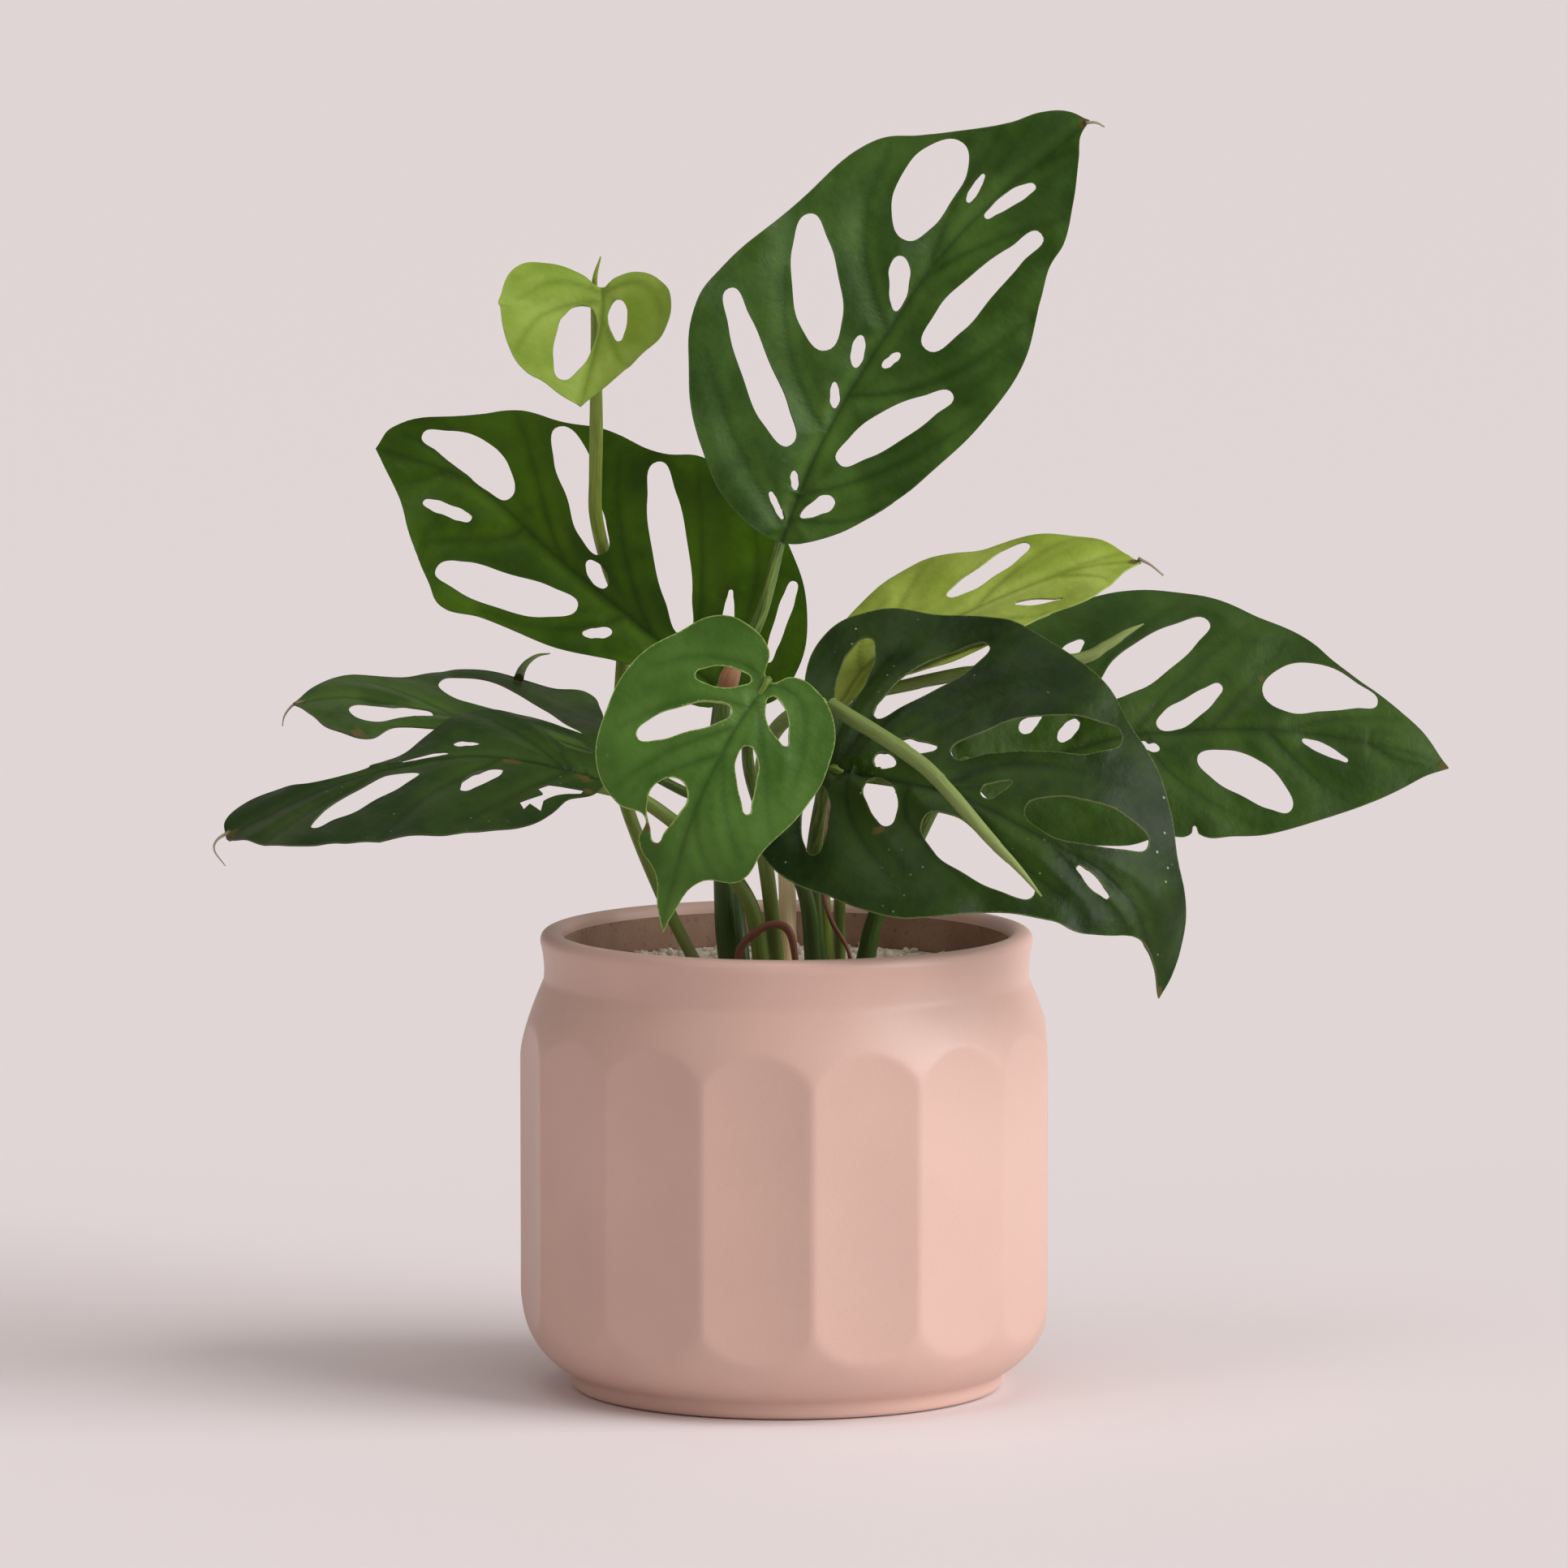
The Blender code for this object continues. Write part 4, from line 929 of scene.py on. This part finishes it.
# ---------------------------------------------------------------- pot and grit
def ring_body(profile, segments):
    """A round body, drawn up ring by ring along its profile of (radius, height)."""
    deselect()
    (radius, height), rest = profile[0], profile[1:]
    bpy.ops.mesh.primitive_circle_add(vertices=segments, radius=radius, location=(0, 0, height))
    body = bpy.context.object
    settle(body)
    bpy.ops.object.mode_set(mode="EDIT")
    bpy.ops.mesh.select_all(action="SELECT")
    for next_radius, next_height in rest:
        bpy.ops.mesh.extrude_edges_move(TRANSFORM_OT_translate={"value": (0, 0, next_height - height)})
        growth = next_radius / radius
        bpy.ops.transform.resize(value=(growth, growth, 1), center_override=(0, 0, next_height))
        radius, height = next_radius, next_height
    return body


def pot_outer():
    """The pot's outer wall, from the foot up to the lip's crown."""
    foot = BELLY_RADIUS - FOOT_INSET
    notch = (foot + 0.0012, FOOT_HEIGHT + 0.0005)
    edge = (foot, FOOT_ROUNDING)
    low = (BELLY_RADIUS, BELLY_LOW)
    high = (BELLY_RADIUS, SHOULDER)
    throat = (NECK_RADIUS, THROAT)
    lip = (NECK_RADIUS + LIP_FLARE, BRIM)
    points = bend((foot - FOOT_ROUNDING, 0), (foot, 0), edge, 4)
    points += bend(edge, (foot, FOOT_HEIGHT - 0.0004), notch, 5)
    points += bend(notch, (BELLY_RADIUS - 0.0008, 0.0096), low, 18)
    points += bend(low, (BELLY_RADIUS, 0.050), high, 18)
    points += bend(high, (BELLY_RADIUS, SHOULDER + 0.0062), throat, 26)
    points += bend(throat, (NECK_RADIUS - 0.0004, POT_HEIGHT - 0.007), lip, 8)
    points += bend(lip, (lip[0], POT_HEIGHT), (lip[0] - WALL / 2, POT_HEIGHT), 7)
    return points


def pot_inner():
    """The pot's inner wall, from the lip's crown down to the floor."""
    belly = BELLY_RADIUS - WALL
    throat = (NECK_RADIUS - WALL, THROAT)
    mouth = (NECK_RADIUS - WALL + LIP_FLARE, BRIM)
    crown = (NECK_RADIUS + LIP_FLARE - WALL / 2, POT_HEIGHT)
    bottom = (belly - 0.016, FLOOR_THICKNESS)
    points = bend(crown, (mouth[0], POT_HEIGHT), mouth, 7)
    points += bend(mouth, (throat[0], POT_HEIGHT - 0.008), throat, 5)
    points += bend(throat, (belly, THROAT - 0.010), (belly, SHOULDER), 8)
    points += bend((belly, SHOULDER), (belly, FLOOR_THICKNESS), bottom, 10)
    return points + [bottom]


def flute_radius(angle):
    """How far out a flute's surface lies, in the direction of that angle."""
    width = 2 * pi / FLUTES
    turn = (angle - FLUTE_START) % width - width / 2
    chord = BELLY_RADIUS * cos(width / 2) / cos(turn)
    return chord - FLUTE_HOLLOW * (1 - (2 * turn / width) ** 2)


def pot_piece(glazed, shaded_inside):
    """The fluted pot: rings drawn up from the foot, over the lip and down inside, then its flutes."""
    body = ring_body(pot_outer() + pot_inner(), POT_SEGMENTS)
    bpy.ops.mesh.edge_face_add()
    bpy.ops.object.mode_set(mode="OBJECT")
    for vert in body.data.vertices:
        vert.select = vert.co.z < 1e-6
    bpy.context.tool_settings.mesh_select_mode = (True, False, False)
    bpy.ops.object.mode_set(mode="EDIT")
    bpy.ops.mesh.edge_face_add()
    bpy.ops.mesh.select_all(action="SELECT")
    bpy.ops.mesh.normals_make_consistent(inside=False)
    bpy.ops.object.mode_set(mode="OBJECT")
    body.rotation_euler.z = FLUTE_START
    settle(body)
    for vert in body.data.vertices:
        radius = hypot(vert.co.x, vert.co.y)
        if radius < BELLY_RADIUS - WALL + 0.001 or vert.co.z < FOOT_HEIGHT:
            continue
        flute = flute_radius(atan2(vert.co.y, vert.co.x))
        low = min(radius, flute)
        gap = abs(radius - flute) / FLUTE_SOFTNESS
        soft = low - FLUTE_SOFTNESS * log(1 + exp(-gap))
        vert.co.x *= soft / radius
        vert.co.y *= soft / radius
    body.data.materials.append(glazed)
    body.data.materials.append(shaded_inside)
    # The inside wall below the brim takes the darker, duller clay: painted shade inside the pot.
    for face in body.data.polygons:
        inward = face.normal.x * face.center.x + face.normal.y * face.center.y < 0
        if inward and face.center.z < BRIM:
            face.material_index = 1
    pick(body)
    bpy.ops.object.shade_smooth_by_angle(angle=radians(60))
    return finished(body, "fluted_pot", "pot_ceramic", "pot")


def grain_shape(seed):
    """One crumb of grit, a few dozen faces."""
    deselect()
    bpy.ops.mesh.primitive_ico_sphere_add(subdivisions=2, radius=1)
    crumb = bpy.context.object
    for vert in crumb.data.vertices:
        vert.co *= 1 + 0.45 * noise.noise(vert.co * 1.3 + Vector((seed * 5.1, 0, 0)))
    return crumb


def grit_piece(mat):
    """Loose pale grains over the growing medium, clear of the stems."""
    rng = random.Random(11)
    shapes = [grain_shape(seed) for seed in range(6)]
    feet = [stem.route[0] for stem in STEMS.values()]
    feet += [VINE_LEFT[0][0], STAKE[0]] + [shoot.stem_route[0] for shoot in ROLLED.values()]
    grains = []
    while len(grains) < GRAINS:
        angle = rng.uniform(0, 2 * pi)
        radius = GRAIN_RING * rng.random() ** 0.5
        x, y = radius * cos(angle), radius * sin(angle)
        size = rng.uniform(0.0006, 0.0015)
        turn = [rng.uniform(0, 2 * pi) for _ in range(3)]
        tint = rng.random()
        if any(hypot(x - foot[0] * MM, y - foot[1] * MM) < FOOT_ROOM + size for foot in feet):
            continue
        shape = rng.choice(shapes)
        grain = bpy.data.objects.new("grain", shape.data.copy())
        bpy.context.scene.collection.objects.link(grain)
        grain.scale = (size, size * rng.uniform(0.7, 1.1), size * rng.uniform(0.6, 0.9))
        grain.rotation_euler = turn
        grain.location = (x, y, MEDIUM_TOP + size * rng.uniform(-0.35, 0.15))
        store(grain.data, "tint", "FLOAT", [tint] * len(grain.data.vertices))
        grains.append(grain)
    for shape in shapes:
        bpy.data.objects.remove(shape)
    deselect()
    for grain in grains:
        grain.select_set(True)
    bpy.context.view_layer.objects.active = grains[0]
    bpy.ops.object.join()
    grit = bpy.context.object
    settle(grit)
    grit.data.materials.append(mat)
    bpy.ops.object.shade_smooth()
    return finished(grit, "loose_grit", "pale_grit")


# ---------------------------------------------------------------- materials
POT_SURFACE = surface(
    "pot_surface", SPECKLED, (0.12, 0.0003),
    {"Body": shade(209, 174, 160), "Cloud": shade(202, 166, 153), "Dirt": shade(192, 152, 136),
     "Cloud Scale": 22.0, "Grain Scale": 1500.0, "Cloud Share": 0.6, "Dirt Share": 0.2,
     "Dull": 0.40, "Dull Range": 0.08}, Specular_IOR_Level=0.5)
# Darker, duller clay for the inside wall: painted shade inside the pot.
POT_INSIDE = surface(
    "pot_inside", SPECKLED, (0.3, 0.0005),
    {"Body": shade(160, 130, 112), "Cloud": shade(138, 108, 90), "Dirt": shade(100, 72, 58),
     "Cloud Scale": 60.0, "Grain Scale": 900.0, "Cloud Share": 0.8, "Dirt Share": 0.5,
     "Dull": 0.85}, Specular_IOR_Level=0.15)
GRIT_SURFACE = surface(
    "grit_surface", SPECKLED, (0.6, 0.0006),
    {"Body": shade(222, 212, 198), "Cloud": shade(196, 182, 162), "Dirt": shade(140, 122, 100),
     "Cloud Scale": 300.0, "Grain Scale": 1400.0, "Cloud Share": 0.7, "Dirt Share": 0.5,
     "Dull": 0.85}, Specular_IOR_Level=0.2)
STAKE_SURFACE = stem_surface("stake_surface", (222, 196, 148), (244, 224, 184), (196, 168, 122), 0.1, 0.6)
ROOT_SURFACE = stem_surface("root_surface", (96, 52, 36), (130, 78, 54), (70, 42, 30), 0.1, 0.6)
DRY_TIP = stem_surface("dry_tip", (140, 128, 104), (170, 160, 140), (90, 96, 60), 0.2, 0.4)
SHEATH = stem_surface("dry_sheath", (128, 84, 52), (164, 120, 84), (110, 80, 50), 0.2, 0.8)
DARK_STALK = stem_surface("dark_stalk", (44, 68, 12), (104, 128, 40), (60, 66, 30), 0.1, 0.9)
VINE_SKIN = stem_surface("vine_skin", (100, 120, 36), (136, 154, 56), (98, 100, 56))
SHOOT_SKIN = stem_surface("shoot_skin", (104, 122, 56), (132, 146, 82), (96, 116, 48))
LIGHT_STALK = stem_surface("light_stalk", (92, 112, 38), (122, 142, 60), (96, 100, 52))
STALK_SKINS = {"vine_pale_right": ("pale_stem", VINE_SKIN), "petiole_left_low": ("dark_stem", LIGHT_STALK)}

Tones = namedtuple("Tones", "slot blade bright rim specks", defaults=[0.0])
LEAF_TONES = {
    "leaf_top": Tones("dark_leaf", (34, 60, 8), (68, 98, 34), (64, 84, 40)),
    "leaf_back_left": Tones("dark_leaf", (42, 70, 2), (74, 108, 8), (56, 80, 14)),
    "leaf_young_heart": Tones("young_leaf", (112, 138, 40), (150, 172, 78), (124, 150, 62)),
    "leaf_left_low": Tones("dark_leaf", (26, 50, 8), (52, 76, 22), (50, 64, 26), specks=0.3),
    "leaf_left_rear": Tones("dark_leaf", (34, 60, 10), (66, 94, 30), (60, 66, 28)),
    "leaf_front": Tones("front_leaf", (52, 84, 24), (80, 114, 46), (150, 168, 98), specks=0.15),
    "leaf_front_right": Tones("dark_leaf", (18, 38, 0), (46, 70, 14), (88, 100, 54), specks=0.8),
    "leaf_right": Tones("dark_leaf", (32, 56, 6), (60, 86, 24), (52, 74, 30)),
    "leaf_pale_right": Tones("young_leaf", (126, 146, 44), (168, 186, 84), (130, 150, 64)),
}


# ---------------------------------------------------------------- the plant
pot_piece(POT_SURFACE, POT_INSIDE)
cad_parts["growing_medium"].material_slots[0].material = GRIT_SURFACE
grit_piece(GRIT_SURFACE)

for number, (leaf_name, leaf_tones) in enumerate(LEAF_TONES.items()):
    leaf_piece(leaf_name, leaf_tones, number + 1)

for stem_name in STEMS:
    stalk_slot, stalk_skin = STALK_SKINS.get(stem_name, ("dark_stem", DARK_STALK))
    petiole(stem_name, stalk_skin, stalk_slot)
finished(tube(*VINE_LEFT, VINE_SKIN), "left_vine", "pale_stem", "vine_left")
for roll_name, shoot in ROLLED.items():
    shoot_stem = tube(shoot.stem_route, [shoot.radii[0]] * len(shoot.stem_route), SHOOT_SKIN)
    finished(shoot_stem, shoot.stem + "_stalk", "pale_stem", shoot.stem)
    roll = tube(shoot.route, shoot.radii, SHOOT_SKIN, steps=20, sides=8, rooted=False, twist=260.0)
    finished(roll, roll_name + "_roll", "pale_stem", roll_name)
stick = tube(STAKE, [STAKE_RADIUS] * len(STAKE), STAKE_SURFACE, rough=0.12)
finished(stick, "dry_stake", "dry_wood", "stake")
for root_name, (root_route, root_radii) in AERIAL_ROOTS.items():
    root = tube(root_route, root_radii, ROOT_SURFACE, rough=0.25)
    finished(root, root_name + "_bark", "root_bark", root_name)


# ---------------------------------------------------------------- floor, light and camera
FLOOR_COLOUR = shade(233, 225, 226)


def floor():
    """A plain pale floor."""
    deselect()
    bpy.ops.mesh.primitive_plane_add(size=24, location=(0, 0, -0.0002))
    plane = bpy.context.object
    plane.name = "pale_floor"
    mat = bpy.data.materials.new("pale_floor")
    mat.use_nodes = True
    shader = mat.node_tree.nodes["Principled BSDF"]
    shader.inputs["Base Color"].default_value = FLOOR_COLOUR
    shader.inputs["Roughness"].default_value = 0.7
    plane.data.materials.append(mat)


def window(name, azimuth, elevation, strength, softness, colour):
    """Far soft light from a side: azimuth counts to the right of the camera's side, in degrees."""
    turn, rise = radians(azimuth), radians(elevation)
    towards = Vector((sin(turn) * cos(rise), -cos(turn) * cos(rise), sin(rise)))
    bpy.ops.object.light_add(type="SUN", location=towards * 3)
    light = bpy.context.object
    light.name = name
    light.data.energy = strength
    light.data.angle = radians(softness)
    light.data.color = colour
    light.rotation_euler = towards.to_track_quat("Z", "Y").to_euler()


def surroundings():
    """Even pale light from all round."""
    world = bpy.data.worlds.new("studio")
    world.use_nodes = True
    background = world.node_tree.nodes["Background"]
    background.inputs["Color"].default_value = shade(238, 226, 220)
    background.inputs["Strength"].default_value = 0.42
    bpy.context.scene.world = world


def camera():
    """A long lens, a little above the leaves, as far off as a table's length."""
    place = Vector((-0.0006, -2.60, 0.445))
    aim = Vector((-0.0006, 0, 0.1417))
    bpy.ops.object.camera_add(location=place)
    cam = bpy.context.object
    cam.name = "front_camera"
    cam.data.sensor_width = 36
    cam.data.lens = 257.5
    cam.data.clip_end = 60
    cam.rotation_euler = (aim - place).to_track_quat("-Z", "Y").to_euler()
    bpy.context.scene.camera = cam


floor()
window("window_right", 70, 26, 2.95, 50, (0.98, 0.99, 1.0))
window("skylight", -20, 78, 0.6, 40, (0.97, 0.985, 1.0))
window("fill_left", -42, 32, 0.12, 14, (1.0, 0.99, 0.98))
surroundings()
camera()
bpy.context.scene.view_settings.view_transform = "Standard"
